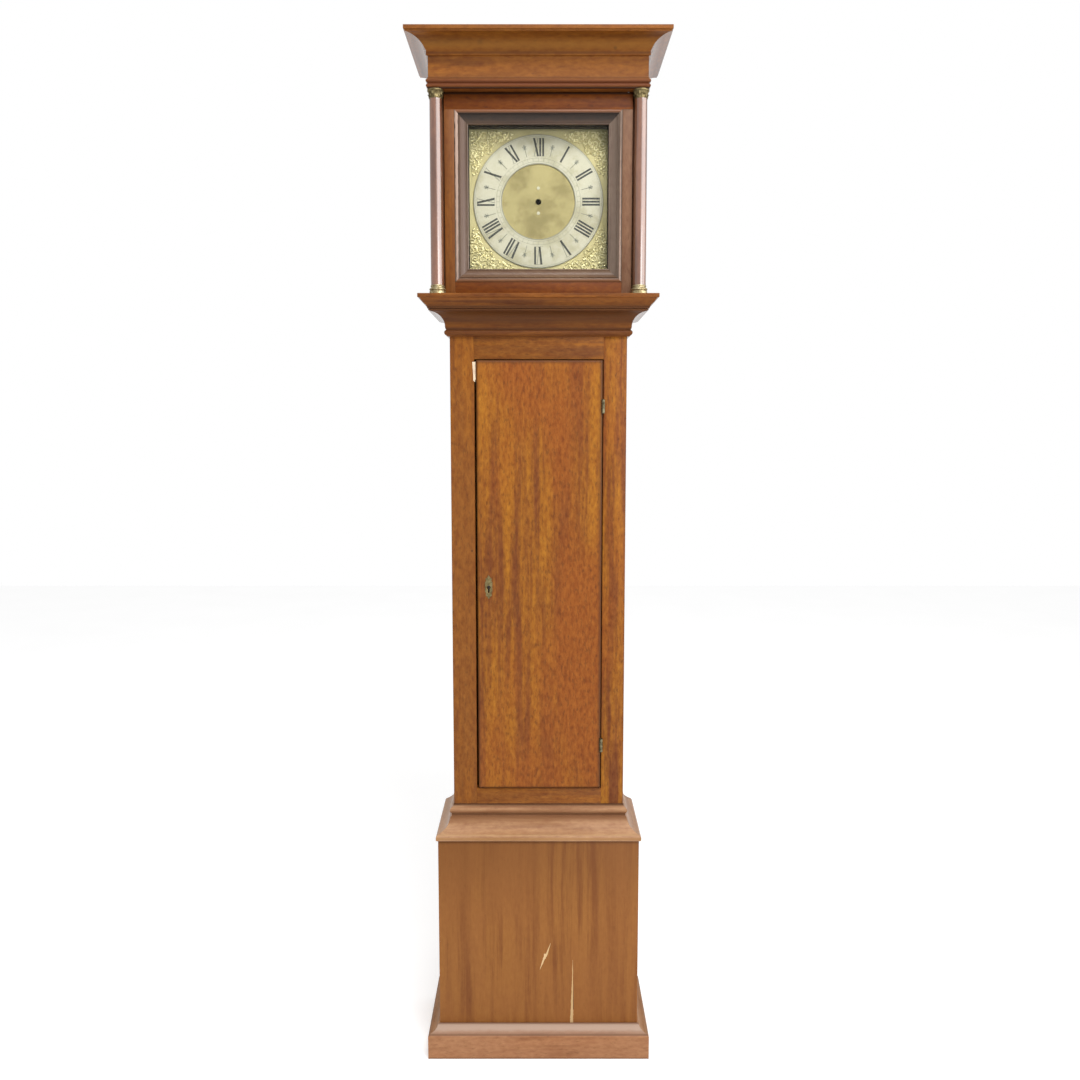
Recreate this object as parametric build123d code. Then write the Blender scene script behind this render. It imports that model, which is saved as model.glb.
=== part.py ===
"""Thirty-hour oak longcase clock with a flat-topped hood, square brass dial and a weight-driven movement.

The case stands on the floor, its front towards -Y and its left side, as seen from the front, towards -X.
Every size is in millimetres. A moulding's "out" is how far it stands proud of the face that it runs round.
The clock has lost its hand, so the arbor that carried one ends just inside the dial's centre hole.
"""

import math
import os

from build123d import *

# Heights above the floor
SKIRT_FACE_TOP = 47.0
SKIRT_TOP = 64.0
PLINTH_TOP = 444.0
CAP_FILLET_TOP = 455.0
CAP_SLOPE_TOP = 484.0
CAP_TOP = 509.0
DOOR_OPENING_BOTTOM = 540.0
DOOR_OPENING_TOP = 1382.0
THROAT_BOTTOM = 1424.0
THROAT_TOP = 1472.0
HOOD_BASE_TOP = 1498.0
CLOCK_HEIGHT = 1960.0
ENTABLATURE_HEIGHT = 96.0
DIAL_CENTRE_Z = 1678.0
SEATBOARD_TOP = 1588.0

# Case plan
TRUNK_WIDTH = 336.0
PLINTH_OUT = 30.0
SKIRT_OUT = 52.0
CORNICE_OUT = 71.0
BACKBOARD_THICKNESS = 15.0
SIDE_THICKNESS = 14.0
FRAME_THICKNESS = 18.0
PLINTH_THICKNESS = 14.0
TRUNK_SIDE_FOOT_Z = 380.0
RUNNING_GAP = 0.4

# Trunk door, an inset board with a rounded edge
DOOR_OPENING_LEFT = -122.0
DOOR_OPENING_RIGHT = 124.0
DOOR_GAP_CLOSING = 3.6
DOOR_GAP = 1.5
DOOR_THICKNESS = 18.0
DOOR_PROUD = 5.0
DOOR_EDGE_RADIUS = 4.5
HINGE_HEIGHT = 26.0
HINGE_CENTRES_Z = (630.0, 1293.0)
HINGE_BARREL_RADIUS = 3.2
HINGE_PIN_RADIUS = 1.4
HINGE_FIT = 0.06
HINGE_AXIS_PROUD = 6.2
LEAF_THICKNESS = 1.3
LEAF_DEPTH = 14.0
KEYHOLE_Z = 945.0
KEYHOLE_FROM_EDGE = 22.0
LOCK_HEIGHT = 58.0
LOCK_WIDTH = 40.0
LOCK_DEPTH = 9.0
BOLT_THROW = 9.0

# Hood
HOOD_BODY_OUT = 30.5
HOOD_SIDE_THICKNESS = 14.0
HOOD_SIDE_FRONT_OUT = 6.5
HOOD_BASE_OUT = 54.0
HOOD_BASE_CLEARANCE = 2.0
HOOD_TOP_THICKNESS = 10.0
HOOD_DOOR_SIDE_OUT = 5.5
HOOD_DOOR_FRONT_OUT = 15.0
HOOD_DOOR_THICKNESS = 20.0
HOOD_DOOR_GAP = 1.5
HOOD_DOOR_BACK_GAP = 2.6
HOOD_MOULDING_WIDTH = 25.0
HOOD_BEAD_WIDTH = 8.0
HOOD_PIVOT_INSET = 8.0
HOOD_PIVOT_DEPTH = 3.0
HOOD_PIVOT_RADIUS = 2.0
HOOD_PIN_REACH = 8.0
PIVOT_HOLE_FIT = 0.08
GLASS_THICKNESS = 2.5
GLASS_REBATE = 5.0
SIGHT_SIZE = 260.0
MASK_OPENING = 259.0
MASK_THICKNESS = 12.0
COLUMN_SIDE_OUT = 19.7
COLUMN_RADIUS = 12.0
COLUMN_CENTRE_OUT = 22.0
CAPITAL_RADIUS = 15.0
CAPITAL_HEIGHT = 16.0
COLUMN_BASE_HEIGHT = 18.0

# Dial
DIAL_SIZE = 267.0
DIAL_THICKNESS = 2.4
DIAL_SETBACK = 30.0
RING_OUTER_RADIUS = 123.0
RING_INNER_RADIUS = 69.0
RING_THICKNESS = 2.0
SPANDREL_THICKNESS = 2.2
CENTRE_HOLE_RADIUS = 5.6
RIVETS_Z = (25.0, -21.0)
RIVET_RADIUS = 3.0
DIAL_FOOT_SPREAD = (66.0, 71.0)
DIAL_FOOT_RADIUS = 3.5

# Movement frame: two plates held apart by four pillars, standing on the seatboard
PLATE_THICKNESS = 2.5
PLATE_HALF_WIDTH = 78.0
PLATE_HEIGHT = 164.0
PLATES_SETBACK = 59.5
PLATE_SPACING = 60.0
PILLAR_RADIUS = 5.0
SEATBOARD_BACK_MARGIN = 4.0
PILLAR_INSET = (6.0, 8.0)
PIVOT_RADIUS = 1.4
PIVOT_FIT = 0.06
STUD_FIT = 0.06

# Trains: places are (x, z), and a module is the pitch diameter per tooth
GOING_GREAT = (42.0, 1657.4)
GOING_SECOND = (23.25, 1688.13)
ESCAPE = (0.0, 1708.02)
ANCHOR = (0.0, 1734.9)
STRIKE_GREAT = (-42.0, 1657.4)
HOOP = (-36.0, 1692.9)
WARNING = (-52.0, 1712.88)
FLY = (-34.0, 1720.64)
COUNT = (-48.0, 1691.27)
HAMMER = (-66.0, 1690.0)
GREAT_TEETH = 64
SECOND_TEETH = 60
HOOP_TEETH = 56
WARNING_TEETH = 48
COUNT_TEETH = 78
HOUR_TEETH = 72
PINION_LEAVES = 8
REPORT_LEAVES = 6
GREAT_MODULE = 1.0
SECOND_MODULE = 0.9
HOOP_MODULE = 0.8
WARNING_MODULE = 0.7
COUNT_MODULE = 0.8
HOUR_MODULE = 1.2
ESCAPE_TEETH = 30
ESCAPE_RADIUS = 19.0
PALLET_CLEARANCE = 1.1
WHEEL_THICKNESS = 2.5
THIN_WHEEL = 2.0
ROPE_RADIUS = 2.5
ROPE_Y = 25.0
SPROCKET_RADIUS = 18.0
SPROCKET_WIDTH = 10.0
ROPE_TO_GROOVE = 0.3
HAMMER_PIN_CIRCLE = 27.0

# Pendulum, weights and bell
PENDULUM_LENGTH = 994.0
PENDULUM_SETBACK = 13.0
PENDULUM_TO_BACKBOARD = 17.5
PENDULUM_ROD_RADIUS = 2.4
BOB_RADIUS = 50.0
BOB_THICKNESS = 26.0
PULLEY_Z = 950.0
PULLEY_RADIUS = 24.0
WEIGHT_RADIUS = 33.0
WEIGHT_HEIGHT = 150.0
RING_Z = 1000.0
RING_Y = -18.0
RING_BIGHT_RADIUS = 4.0
RING_WEIGHT_RADIUS = 8.0
RING_WEIGHT_LENGTH = 46.0
BELL_RADIUS = 45.0
BELL_WALL = 2.5
BELL_RIM_Z = 1768.0
BELL_Y = 42.0

def block(x0, x1, y0, y1, z0, z1):
    """A board between three pairs of faces."""
    return Pos((x0 + x1) / 2, (y0 + y1) / 2, (z0 + z1) / 2) * Box(x1 - x0, y1 - y0, z1 - z0)


def outline_prism(points, plane, depth):
    """A closed outline given in a plane, carried along that plane's normal."""
    return extrude(plane * make_face(Polyline(*points, close=True)), amount=depth)


def rod(radius, start, end):
    """A round bar from one point to another."""
    start, end = Vector(*start), Vector(*end)
    return extrude(Plane(origin=start, z_dir=end - start) * Circle(radius), amount=(end - start).length)


def turned(profile, centre, z_dir=(0, 0, 1)):
    """A turned solid: (radius, height) points spun about an axis through centre."""
    outline = [(0, profile[0][1]), *profile, (0, profile[-1][1])]
    body = revolve(make_face(Polyline(*[(r, 0, h) for r, h in outline], close=True)), Axis.Z)
    return Plane(origin=Vector(*centre), z_dir=z_dir).location * body


def arc_points(start, end, bulge, steps=6):
    """Points along an arc between two (out, height) points; a positive bulge swells, a negative one is hollow."""
    (a0, b0), (a1, b1) = start, end
    half = math.hypot(a1 - a0, b1 - b0) / 2
    rise = -bulge * half
    radius = (half**2 + rise**2) / (2 * rise)
    ma, mb = (a0 + a1) / 2, (b0 + b1) / 2
    ua, ub = -(b1 - b0) / (2 * half), (a1 - a0) / (2 * half)
    ca, cb = ma - ua * (radius - rise), mb - ub * (radius - rise)
    first = math.atan2(b0 - cb, a0 - ca)
    turn = math.atan2(b1 - cb, a1 - ca) - first
    turn = (turn + math.pi) % (2 * math.pi) - math.pi
    return [(ca + abs(radius) * math.cos(first + turn * i / steps),
        cb + abs(radius) * math.sin(first + turn * i / steps)) for i in range(steps + 1) ]


def mitre_cutter(half_width, front, side):
    """Half space on the outer side of a corner's mitre, for a run along the front."""
    corner = Plane(origin=(side * half_width, front, 0), z_dir=(side, 1, 0))
    return corner.location * Pos(0, 0, 2000) * Box(9000, 9000, 4000)


def moulding(profile, half_width, front, back):
    """A moulding round three sides of a box: the front piece and two mitred returns.

    The profile is a closed list of (out, height) points, with out measured from the box's faces.
    """
    reach = half_width + 200
    run = outline_prism([(front - out, z) for out, z in profile],
        Plane((-reach, 0, 0), (0, 1, 0), (1, 0, 0)), 2 * reach)
    pieces = []
    front_piece = run
    for side in (-1, 1):
        front_piece = front_piece - mitre_cutter(half_width, front, side)
    pieces.append(front_piece)
    for side in (-1, 1):
        plane = Plane((0, back, 0), (1, 0, 0), (0, -1, 0))
        points = [(side * (half_width + out), z) for out, z in profile]
        ret = outline_prism(points, plane, back - front + 200)
        pieces.append(ret & mitre_cutter(half_width, front, side))
    return pieces


def save(name, *solids):
    """Writes one named piece, or a group of like pieces, as parts/NAME.step."""
    flat = []
    for shape in solids:
        flat.extend(shape.solids())
    export_step(Compound(children=[Solid(s.wrapped) for s in flat]), f"parts/{name}.step")


def trunk():
    """Backboard, side boards and the framed front that the long door closes."""
    hood_half = HALF_TRUNK
    backboard = block(-HALF_PLINTH + PLINTH_THICKNESS, HALF_PLINTH - PLINTH_THICKNESS, BACKBOARD_FRONT,
        CASE_BACK, 0, PLINTH_TOP)
    backboard += block(-hood_half, hood_half, BACKBOARD_FRONT, CASE_BACK, PLINTH_TOP, CLOCK_HEIGHT - 20)
    hanging_hole = rod(WALL_HOLE_RADIUS, (0, BACKBOARD_FRONT - 1, WALL_HOLE_Z),
        (0, CASE_BACK + 1, WALL_HOLE_Z))
    save("backboard", backboard - hanging_hole)
    sides = []
    for side in (-1, 1):
        inner, outer = sorted((side * (HALF_TRUNK - SIDE_THICKNESS), side * HALF_TRUNK))
        lower = block(inner, outer, TRUNK_FRONT + FRAME_THICKNESS, BACKBOARD_FRONT, TRUNK_SIDE_FOOT_Z,
            THROAT_TOP)
        cheek = block(inner, outer, TRUNK_FRONT + CHEEK_SETBACK, BACKBOARD_FRONT, THROAT_TOP,
            SEATBOARD_TOP - SEATBOARD_THICKNESS)
        sides.append(lower + cheek)
    save("trunk_sides", *sides)
    bottom, top = TRUNK_SIDE_FOOT_Z, THROAT_TOP
    barrel_pockets = [rod(HINGE_BARREL_RADIUS + 0.4, (HINGE_X, HINGE_Y, z - HINGE_HEIGHT / 2 - 0.4),
        (HINGE_X, HINGE_Y, z + HINGE_HEIGHT / 2 + 0.4)) for z in HINGE_CENTRES_Z ]
    leaf_mortises = [
        block(DOOR_OPENING_RIGHT - 1, DOOR_OPENING_RIGHT + LEAF_THICKNESS, TRUNK_FRONT - 1,
              HINGE_Y + LEAF_DEPTH, z - HINGE_HEIGHT / 2, z + HINGE_HEIGHT / 2)
        for z in HINGE_CENTRES_Z
    ]
    left = block(-HALF_TRUNK, DOOR_OPENING_LEFT, TRUNK_FRONT, TRUNK_FRONT + FRAME_THICKNESS, bottom, top)
    bolt_slot = block(DOOR_OPENING_LEFT - BOLT_THROW - 2, DOOR_OPENING_LEFT + 1,
        BOLT_Y - BOLT_HALF_THICKNESS - 0.5, BOLT_Y + BOLT_HALF_THICKNESS + 0.5,
        KEYHOLE_Z - BOLT_HALF_HEIGHT - 1, KEYHOLE_Z + BOLT_HALF_HEIGHT + 1)
    right = block(DOOR_OPENING_RIGHT, HALF_TRUNK, TRUNK_FRONT, TRUNK_FRONT + FRAME_THICKNESS, bottom, top)
    for cutter in barrel_pockets + leaf_mortises:
        right -= cutter
    upper = block(DOOR_OPENING_LEFT, DOOR_OPENING_RIGHT, TRUNK_FRONT, TRUNK_FRONT + FRAME_THICKNESS,
        DOOR_OPENING_TOP, top)
    lower = block(DOOR_OPENING_LEFT, DOOR_OPENING_RIGHT, TRUNK_FRONT, TRUNK_FRONT + FRAME_THICKNESS,
        bottom, DOOR_OPENING_BOTTOM)
    save("trunk_front_frame", left - bolt_slot, right, upper, lower)


def plinth():
    """The box that the trunk stands in, with its floor, packing pieces and mouldings."""
    front = block(-HALF_PLINTH, HALF_PLINTH, PLINTH_FRONT, PLINTH_FRONT + PLINTH_THICKNESS, 0, PLINTH_TOP)
    save("plinth_front_panel", front)
    sides = []
    packers = []
    for side in (-1, 1):
        x0, x1 = sorted((side * (HALF_PLINTH - PLINTH_THICKNESS), side * HALF_PLINTH))
        sides.append(block(x0, x1, PLINTH_FRONT + PLINTH_THICKNESS, CASE_BACK, 0, PLINTH_TOP))
        p0, p1 = sorted((side * HALF_TRUNK, side * (HALF_PLINTH - PLINTH_THICKNESS)))
        packers.append(block(p0, p1, TRUNK_FRONT, BACKBOARD_FRONT, TRUNK_SIDE_FOOT_Z, PLINTH_TOP))
    save("plinth_sides", *sides)
    packers.append(block(-HALF_PLINTH + PLINTH_THICKNESS, HALF_PLINTH - PLINTH_THICKNESS,
                         PLINTH_FRONT + PLINTH_THICKNESS, TRUNK_FRONT, TRUNK_SIDE_FOOT_Z, PLINTH_TOP))
    inner = HALF_PLINTH - PLINTH_THICKNESS
    save("plinth_inner_boards", *packers, block(-inner, inner, PLINTH_FRONT + PLINTH_THICKNESS,
        BACKBOARD_FRONT, FLOOR_BOARD_Z, FLOOR_BOARD_Z + 12))
    skirt = SKIRT_OUT - PLINTH_OUT
    profile = [(0, 0), (skirt, 0), (skirt, SKIRT_FACE_TOP), (skirt - 3, SKIRT_FACE_TOP + 3),
        *arc_points((skirt - 5, SKIRT_FACE_TOP + 4), (4, SKIRT_TOP - 3), -0.3), (4, SKIRT_TOP),
        (0, SKIRT_TOP)]
    save("base_skirting", *moulding(profile, HALF_PLINTH, PLINTH_FRONT, CASE_BACK))
    cap_out = PLINTH_OUT + 4
    profile = [(0, PLINTH_TOP), (cap_out - 1, PLINTH_TOP), (cap_out, PLINTH_TOP + 2),
        (cap_out, CAP_FILLET_TOP - 3), (cap_out - 2, CAP_FILLET_TOP),
        *arc_points((cap_out - 4, CAP_FILLET_TOP + 1), (7, CAP_SLOPE_TOP), -0.3),
        (5, CAP_SLOPE_TOP + 1), (5, CAP_SLOPE_TOP + 6),
        *arc_points((5, CAP_SLOPE_TOP + 7), (5, CAP_TOP - 4), 0.5), (4, CAP_TOP - 3), (3, CAP_TOP),
        (0, CAP_TOP)]
    save("plinth_cap_moulding", *moulding(profile, HALF_TRUNK, TRUNK_FRONT, CASE_BACK))


def throat():
    """The hollow moulding that widens the trunk out to the hood."""
    profile = [(0, THROAT_BOTTOM), (4, THROAT_BOTTOM),
        *arc_points((6, THROAT_BOTTOM + 2), (6, THROAT_BOTTOM + 12), 0.7), (7, THROAT_BOTTOM + 14),
        *arc_points((8, THROAT_BOTTOM + 17), (33, THROAT_TOP - 4), -0.42), (34, THROAT_TOP - 3),
        (36, THROAT_TOP - 3), (36, THROAT_TOP), (0, THROAT_TOP)]
    save("throat_moulding", *moulding(profile, HALF_TRUNK, TRUNK_FRONT, CASE_BACK))


def trunk_door():
    """The long door with its hinges, lock, bolt and escutcheon."""
    x0, x1 = DOOR_OPENING_LEFT + DOOR_GAP_CLOSING, DOOR_OPENING_RIGHT - DOOR_GAP
    z0, z1 = DOOR_OPENING_BOTTOM + DOOR_GAP, DOOR_OPENING_TOP - DOOR_GAP
    front = TRUNK_FRONT - DOOR_PROUD
    panel = block(x0, x1, front, front + DOOR_THICKNESS, z0, z1)
    panel = fillet(panel.faces().sort_by(Axis.Y)[0].edges(), DOOR_EDGE_RADIUS)
    frame_leaves, door_leaves = [], []
    third = HINGE_HEIGHT / 3
    for z in HINGE_CENTRES_Z:
        low, high = z - HINGE_HEIGHT / 2, z + HINGE_HEIGHT / 2
        panel -= rod(HINGE_BARREL_RADIUS + 0.4, (HINGE_X, HINGE_Y, low - 0.4),
            (HINGE_X, HINGE_Y, high + 0.4))
        panel -= block(x1 - LEAF_THICKNESS, x1 + 1, front - 1, HINGE_Y + LEAF_DEPTH, low, high)
        pin = rod(HINGE_PIN_RADIUS, (HINGE_X, HINGE_Y, low), (HINGE_X, HINGE_Y, high))
        middle = (z - third / 2, z + third / 2)
        leaf = block(DOOR_OPENING_RIGHT, DOOR_OPENING_RIGHT + LEAF_THICKNESS, HINGE_Y,
            HINGE_Y + LEAF_DEPTH, low, high)
        leaf -= block(HINGE_X, DOOR_OPENING_RIGHT + 5, HINGE_Y - 5, HINGE_Y + HINGE_BARREL_RADIUS + 0.3,
            middle[0] - 0.3, middle[1] + 0.3)
        for a, b in ((low, middle[0] - 0.3), (middle[1] + 0.3, high)):
            leaf += rod(HINGE_BARREL_RADIUS, (HINGE_X, HINGE_Y, a), (HINGE_X, HINGE_Y, b))
        frame_leaves.append(leaf + pin)
        leaf = block(x1 - LEAF_THICKNESS, x1, HINGE_Y, HINGE_Y + LEAF_DEPTH, low, high)
        for a, b in ((low - 1, middle[0]), (middle[1], high + 1)):
            leaf -= rod(HINGE_BARREL_RADIUS + 0.35, (HINGE_X, HINGE_Y, a), (HINGE_X, HINGE_Y, b))
        leaf += rod(HINGE_BARREL_RADIUS, (HINGE_X, HINGE_Y, middle[0]), (HINGE_X, HINGE_Y, middle[1]))
        leaf -= rod(HINGE_PIN_RADIUS + HINGE_FIT, (HINGE_X, HINGE_Y, low), (HINGE_X, HINGE_Y, high))
        door_leaves.append(leaf)
    key_x = x0 + KEYHOLE_FROM_EDGE
    back = front + DOOR_THICKNESS
    keyhole = rod(KEYHOLE_RADIUS, (key_x, front - 2, KEYHOLE_Z), (key_x, back + 2, KEYHOLE_Z))
    keyhole += block(key_x - 1.6, key_x + 1.6, front - 2, back + 2, KEYHOLE_Z - 11, KEYHOLE_Z)
    panel -= keyhole
    lock_low, lock_high = KEYHOLE_Z - LOCK_HEIGHT / 2, KEYHOLE_Z + LOCK_HEIGHT / 2
    lock_x1 = x0 + LOCK_WIDTH
    case = block(x0, lock_x1, back, back + LOCK_DEPTH, lock_low, lock_high)
    case -= block(x0 + 1.5, lock_x1 - 1.5, back - 1, back + LOCK_DEPTH - 1.5, lock_low + 1.5,
        lock_high - 1.5)
    case -= block(x0 - 1, x0 + 2, BOLT_Y - BOLT_HALF_THICKNESS - 0.3, BOLT_Y + BOLT_HALF_THICKNESS + 0.3,
                  KEYHOLE_Z - BOLT_HALF_HEIGHT - 0.3, KEYHOLE_Z + BOLT_HALF_HEIGHT + 0.3)
    bolt = block(x0 + 0.6, x0 + 24, BOLT_Y - BOLT_HALF_THICKNESS, BOLT_Y + BOLT_HALF_THICKNESS,
                 KEYHOLE_Z - BOLT_HALF_HEIGHT, KEYHOLE_Z + BOLT_HALF_HEIGHT)
    plate = outline_prism([(key_x + x, KEYHOLE_Z + z) for x, z in ESCUTCHEON_OUTLINE],
        Plane((0, front, 0), (1, 0, 0), (0, -1, 0)), 1.2)
    plate -= keyhole
    save("trunk_door_panel", panel)
    save("hinge_leaves_on_frame", *frame_leaves)
    save("hinge_leaves_on_door", *door_leaves)
    save("door_lock_case", case)
    save("lock_bolt", bolt)
    save("escutcheon", plate)


def hood_pivot_bores():
    """The two holes that the hood door's pins turn in, one above and one below the door."""
    radius = HOOD_PIVOT_RADIUS + PIVOT_HOLE_FIT
    low, high = HOOD_BASE_TOP, ENTABLATURE_BOTTOM
    reach = HOOD_PIN_REACH + 0.5
    bottom = rod(radius, (HOOD_PIVOT_X, HOOD_PIVOT_Y, low - reach), (HOOD_PIVOT_X, HOOD_PIVOT_Y, low + 1))
    top = rod(radius, (HOOD_PIVOT_X, HOOD_PIVOT_Y, high - 1), (HOOD_PIVOT_X, HOOD_PIVOT_Y, high + reach))
    return bottom, top


def hood():
    """The cover that slides forward off the movement: sides, top, mouldings, columns and dial mask."""
    side_outer = HALF_TRUNK + HOOD_BODY_OUT
    side_inner = side_outer - HOOD_SIDE_THICKNESS
    side_front = TRUNK_FRONT - HOOD_SIDE_FRONT_OUT
    head_front = TRUNK_FRONT - HOOD_BODY_OUT
    top_z = CLOCK_HEIGHT - HOOD_TOP_THICKNESS
    bottom_bore, top_bore = hood_pivot_bores()
    sides = []
    for side in (-1, 1):
        x0, x1 = sorted((side * side_inner, side * side_outer))
        sides.append(block(x0, x1, side_front, CASE_BACK, HOOD_BASE_TOP, top_z))
    save("hood_sides", *sides)
    head = block(-side_outer, side_outer, head_front, side_front, ENTABLATURE_BOTTOM, top_z) - top_bore
    top = block(-side_outer, side_outer, head_front, CASE_BACK, top_z, CLOCK_HEIGHT)
    save("hood_top_boards", head, top)
    e, inner = ENTABLATURE_BOTTOM, HOOD_BODY_OUT
    profile = [(inner, e), (33, e), (34, e + 1), *arc_points((34, e + 2), (34, e + 7), 0.7, 4),
        (33, e + 8), (33, e + 9), *arc_points((34, e + 10), (34, e + 16), 0.7, 4), (33, e + 17),
        (33, e + 19), (32, e + 20), (32, e + 56), (35, e + 57), (35, e + 65),
        *arc_points((36, e + 66), (66, CLOCK_HEIGHT - 10), -0.3), (69, CLOCK_HEIGHT - 10),
        (69, CLOCK_HEIGHT - 7.5), (CORNICE_OUT, CLOCK_HEIGHT - 7), (CORNICE_OUT, CLOCK_HEIGHT),
        (inner, CLOCK_HEIGHT)]
    save("cornice", *moulding(profile, HALF_TRUNK, TRUNK_FRONT, CASE_BACK))
    low, close = THROAT_TOP + RUNNING_GAP, HOOD_BASE_CLEARANCE
    profile = [(close, low), (38, low), (38, low + 3), (39.5, low + 4),
        *arc_points((40, low + 6), (50, HOOD_BASE_TOP - 8), 0.12), (HOOD_BASE_OUT, HOOD_BASE_TOP - 7),
        (HOOD_BASE_OUT, HOOD_BASE_TOP), (close, HOOD_BASE_TOP)]
    base = moulding(profile, HALF_TRUNK, TRUNK_FRONT, CASE_BACK)
    save("hood_base_moulding", base[0] - bottom_bore, *base[1:])
    half_open = MASK_OPENING / 2
    mask = block(-side_inner, side_inner, MASK_FRONT, MASK_BACK, HOOD_BASE_TOP, top_z)
    mask -= block(-half_open, half_open, MASK_FRONT - 1, MASK_BACK + 1,
        DIAL_CENTRE_Z - half_open, DIAL_CENTRE_Z + half_open)
    jambs = []
    for side in (-1, 1):
        x0, x1 = sorted((side * (HOOD_DOOR_WIDTH / 2 + 1.8), side * side_inner))
        jambs.append(block(x0, x1, side_front, MASK_FRONT, HOOD_BASE_TOP, ENTABLATURE_BOTTOM))
    save("dial_mask", mask, *jambs)
    columns, brasses = [], []
    y = TRUNK_FRONT - COLUMN_CENTRE_OUT
    r, cap = COLUMN_RADIUS, CAPITAL_RADIUS
    for side in (-1, 1):
        x = side * COLUMN_CENTRE_X
        shaft_low, shaft_high = HOOD_BASE_TOP + COLUMN_BASE_HEIGHT, ENTABLATURE_BOTTOM - CAPITAL_HEIGHT
        columns.append(rod(r, (x, y, shaft_low), (x, y, shaft_high)))
        base = turned([(cap, 0), (cap, 7), (cap - 1, 8),
            *arc_points((cap - 1, 9), (cap - 1, 14), 0.4, 4), (r, 15), (r, COLUMN_BASE_HEIGHT)],
            (x, y, HOOD_BASE_TOP))
        capital = turned([(r, 0), (r + 1, 1), (r + 1, 3), (r, 4), (r, 6),
            *arc_points((r + 0.3, 7), (cap - 0.5, 12), -0.25, 4), (cap, 12.5), (cap, CAPITAL_HEIGHT)],
            (x, y, shaft_high))
        brasses += [base, capital]
    save("hood_columns", *columns)
    save("column_brasses", *brasses)


def hood_door():
    """The glazed door in front of the dial, turning on two pins near its right-hand edge."""
    half = HOOD_DOOR_WIDTH / 2
    front = TRUNK_FRONT - HOOD_DOOR_FRONT_OUT
    back = front + HOOD_DOOR_THICKNESS
    z0, z1 = HOOD_BASE_TOP + HOOD_DOOR_GAP, ENTABLATURE_BOTTOM - HOOD_DOOR_GAP
    outer = SIGHT_SIZE / 2 + HOOD_MOULDING_WIDTH
    stiles, rails, pivots = [], [], []
    for side in (-1, 1):
        x0, x1 = sorted((side * outer, side * half))
        stiles.append(block(x0, x1, front, back, z0, z1))
    for a, b in ((z0, DIAL_CENTRE_Z - outer), (DIAL_CENTRE_Z + outer, z1)):
        rails.append(block(-outer, outer, front, back, a, b))
    for edge, outward in ((z0, -1), (z1, 1)):
        inner_end, outer_end = edge - outward * 12, edge + outward * HOOD_PIN_REACH
        pivots.append(rod(HOOD_PIVOT_RADIUS, (HOOD_PIVOT_X, HOOD_PIVOT_Y, inner_end),
            (HOOD_PIVOT_X, HOOD_PIVOT_Y, outer_end)))
    for pin in pivots:
        stiles[1] -= pin
    sight, m = SIGHT_SIZE / 2, HOOD_MOULDING_WIDTH
    strips = []
    glass_y = front + 11
    hollow = sight + m - HOOD_BEAD_WIDTH
    points = [(sight + m, front), (sight + m - 1.5, front - 1.5), (hollow + 1.5, front - 1.5),
        *arc_points((hollow, front + 0.5), (sight + 3, front + 8), -0.25, 5),
        (sight, front + 8.5), (sight, glass_y), (sight + GLASS_REBATE, glass_y),
        (sight + GLASS_REBATE, back), (sight + m, back)]
    reach = sight + m + 5
    run = outline_prism(points, Plane((0, 0, -reach), (1, 0, 0), (0, 0, 1)), 2 * reach)
    for side in (-1, 1):
        cut = Plane(origin=(0, 0, 0), z_dir=(-1, 0, side))
        run -= cut.location * Pos(0, 0, 1000) * Box(5000, 5000, 2000)
    for quarter in range(4):
        strips.append(Pos(0, 0, DIAL_CENTRE_Z) * Rot(0, 90 * quarter, 0) * run)
    glass_half = sight + GLASS_REBATE - 0.4
    glass = block(-glass_half, glass_half, glass_y, glass_y + GLASS_THICKNESS,
        DIAL_CENTRE_Z - glass_half, DIAL_CENTRE_Z + glass_half)
    save("hood_door_stiles", *stiles)
    save("hood_door_rails", *rails)
    save("hood_door_moulding", *strips)
    save("hood_door_glass", glass)
    save("hood_door_pivots", *pivots)


def along(place, radius, y0, y1):
    """A round bar of the movement, from front to back at an (x, z) place."""
    return rod(radius, (place[0], y0, place[1]), (place[0], y1, place[1]))


def toothed(place, teeth, module, y0, width, addendum, dedendum, share, turn=0.0):
    """A straight-toothed wheel or pinion; share is a tooth's part of the pitch, turn its angle in degrees."""
    pitch_r = teeth * module / 2
    root, tip = pitch_r - dedendum * module, pitch_r + addendum * module
    step = 2 * math.pi / teeth
    points = []
    for i in range(teeth):
        middle = math.radians(turn) + i * step
        for radius, half in ((root, share * 0.62), (pitch_r, share * 0.5), (tip, share * 0.3)):
            points.append((radius, middle - half * step))
        for radius, half in ((tip, share * 0.3), (pitch_r, share * 0.5), (root, share * 0.62)):
            points.append((radius, middle + half * step))
    flat = [(place[0] + r * math.cos(a), place[1] + r * math.sin(a)) for r, a in points]
    return outline_prism(flat, Plane((0, y0 + width, 0), (1, 0, 0), (0, -1, 0)), width)


def wheel(place, teeth, module, y0, width=WHEEL_THICKNESS, turn=0.0):
    """A crossed-out brass wheel."""
    body = toothed(place, teeth, module, y0, width, 0.8, 1.0, 0.40, turn)
    radius = teeth * module / 2
    for i in range(4):
        angle = math.radians(45 + 90 * i)
        centre = (place[0] + 0.54 * radius * math.cos(angle), place[1] + 0.54 * radius * math.sin(angle))
        body -= along(centre, 0.25 * radius, y0 - 1, y0 + width + 1)
    return body


def pinion(place, leaves, module, y0, width, turn=0.0):
    """A small steel pinion on an arbor."""
    return toothed(place, leaves, module, y0, width, 0.5, 1.1, 0.36, turn)


def facing(place, other):
    """Direction in degrees from one (x, z) place to another."""
    return math.degrees(math.atan2(other[1] - place[1], other[0] - place[0]))


def leaf_gap(place, other, leaves=PINION_LEAVES):
    """A pinion's turn that puts a gap between two leaves opposite a wheel."""
    return facing(place, other) + 180 / leaves


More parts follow.
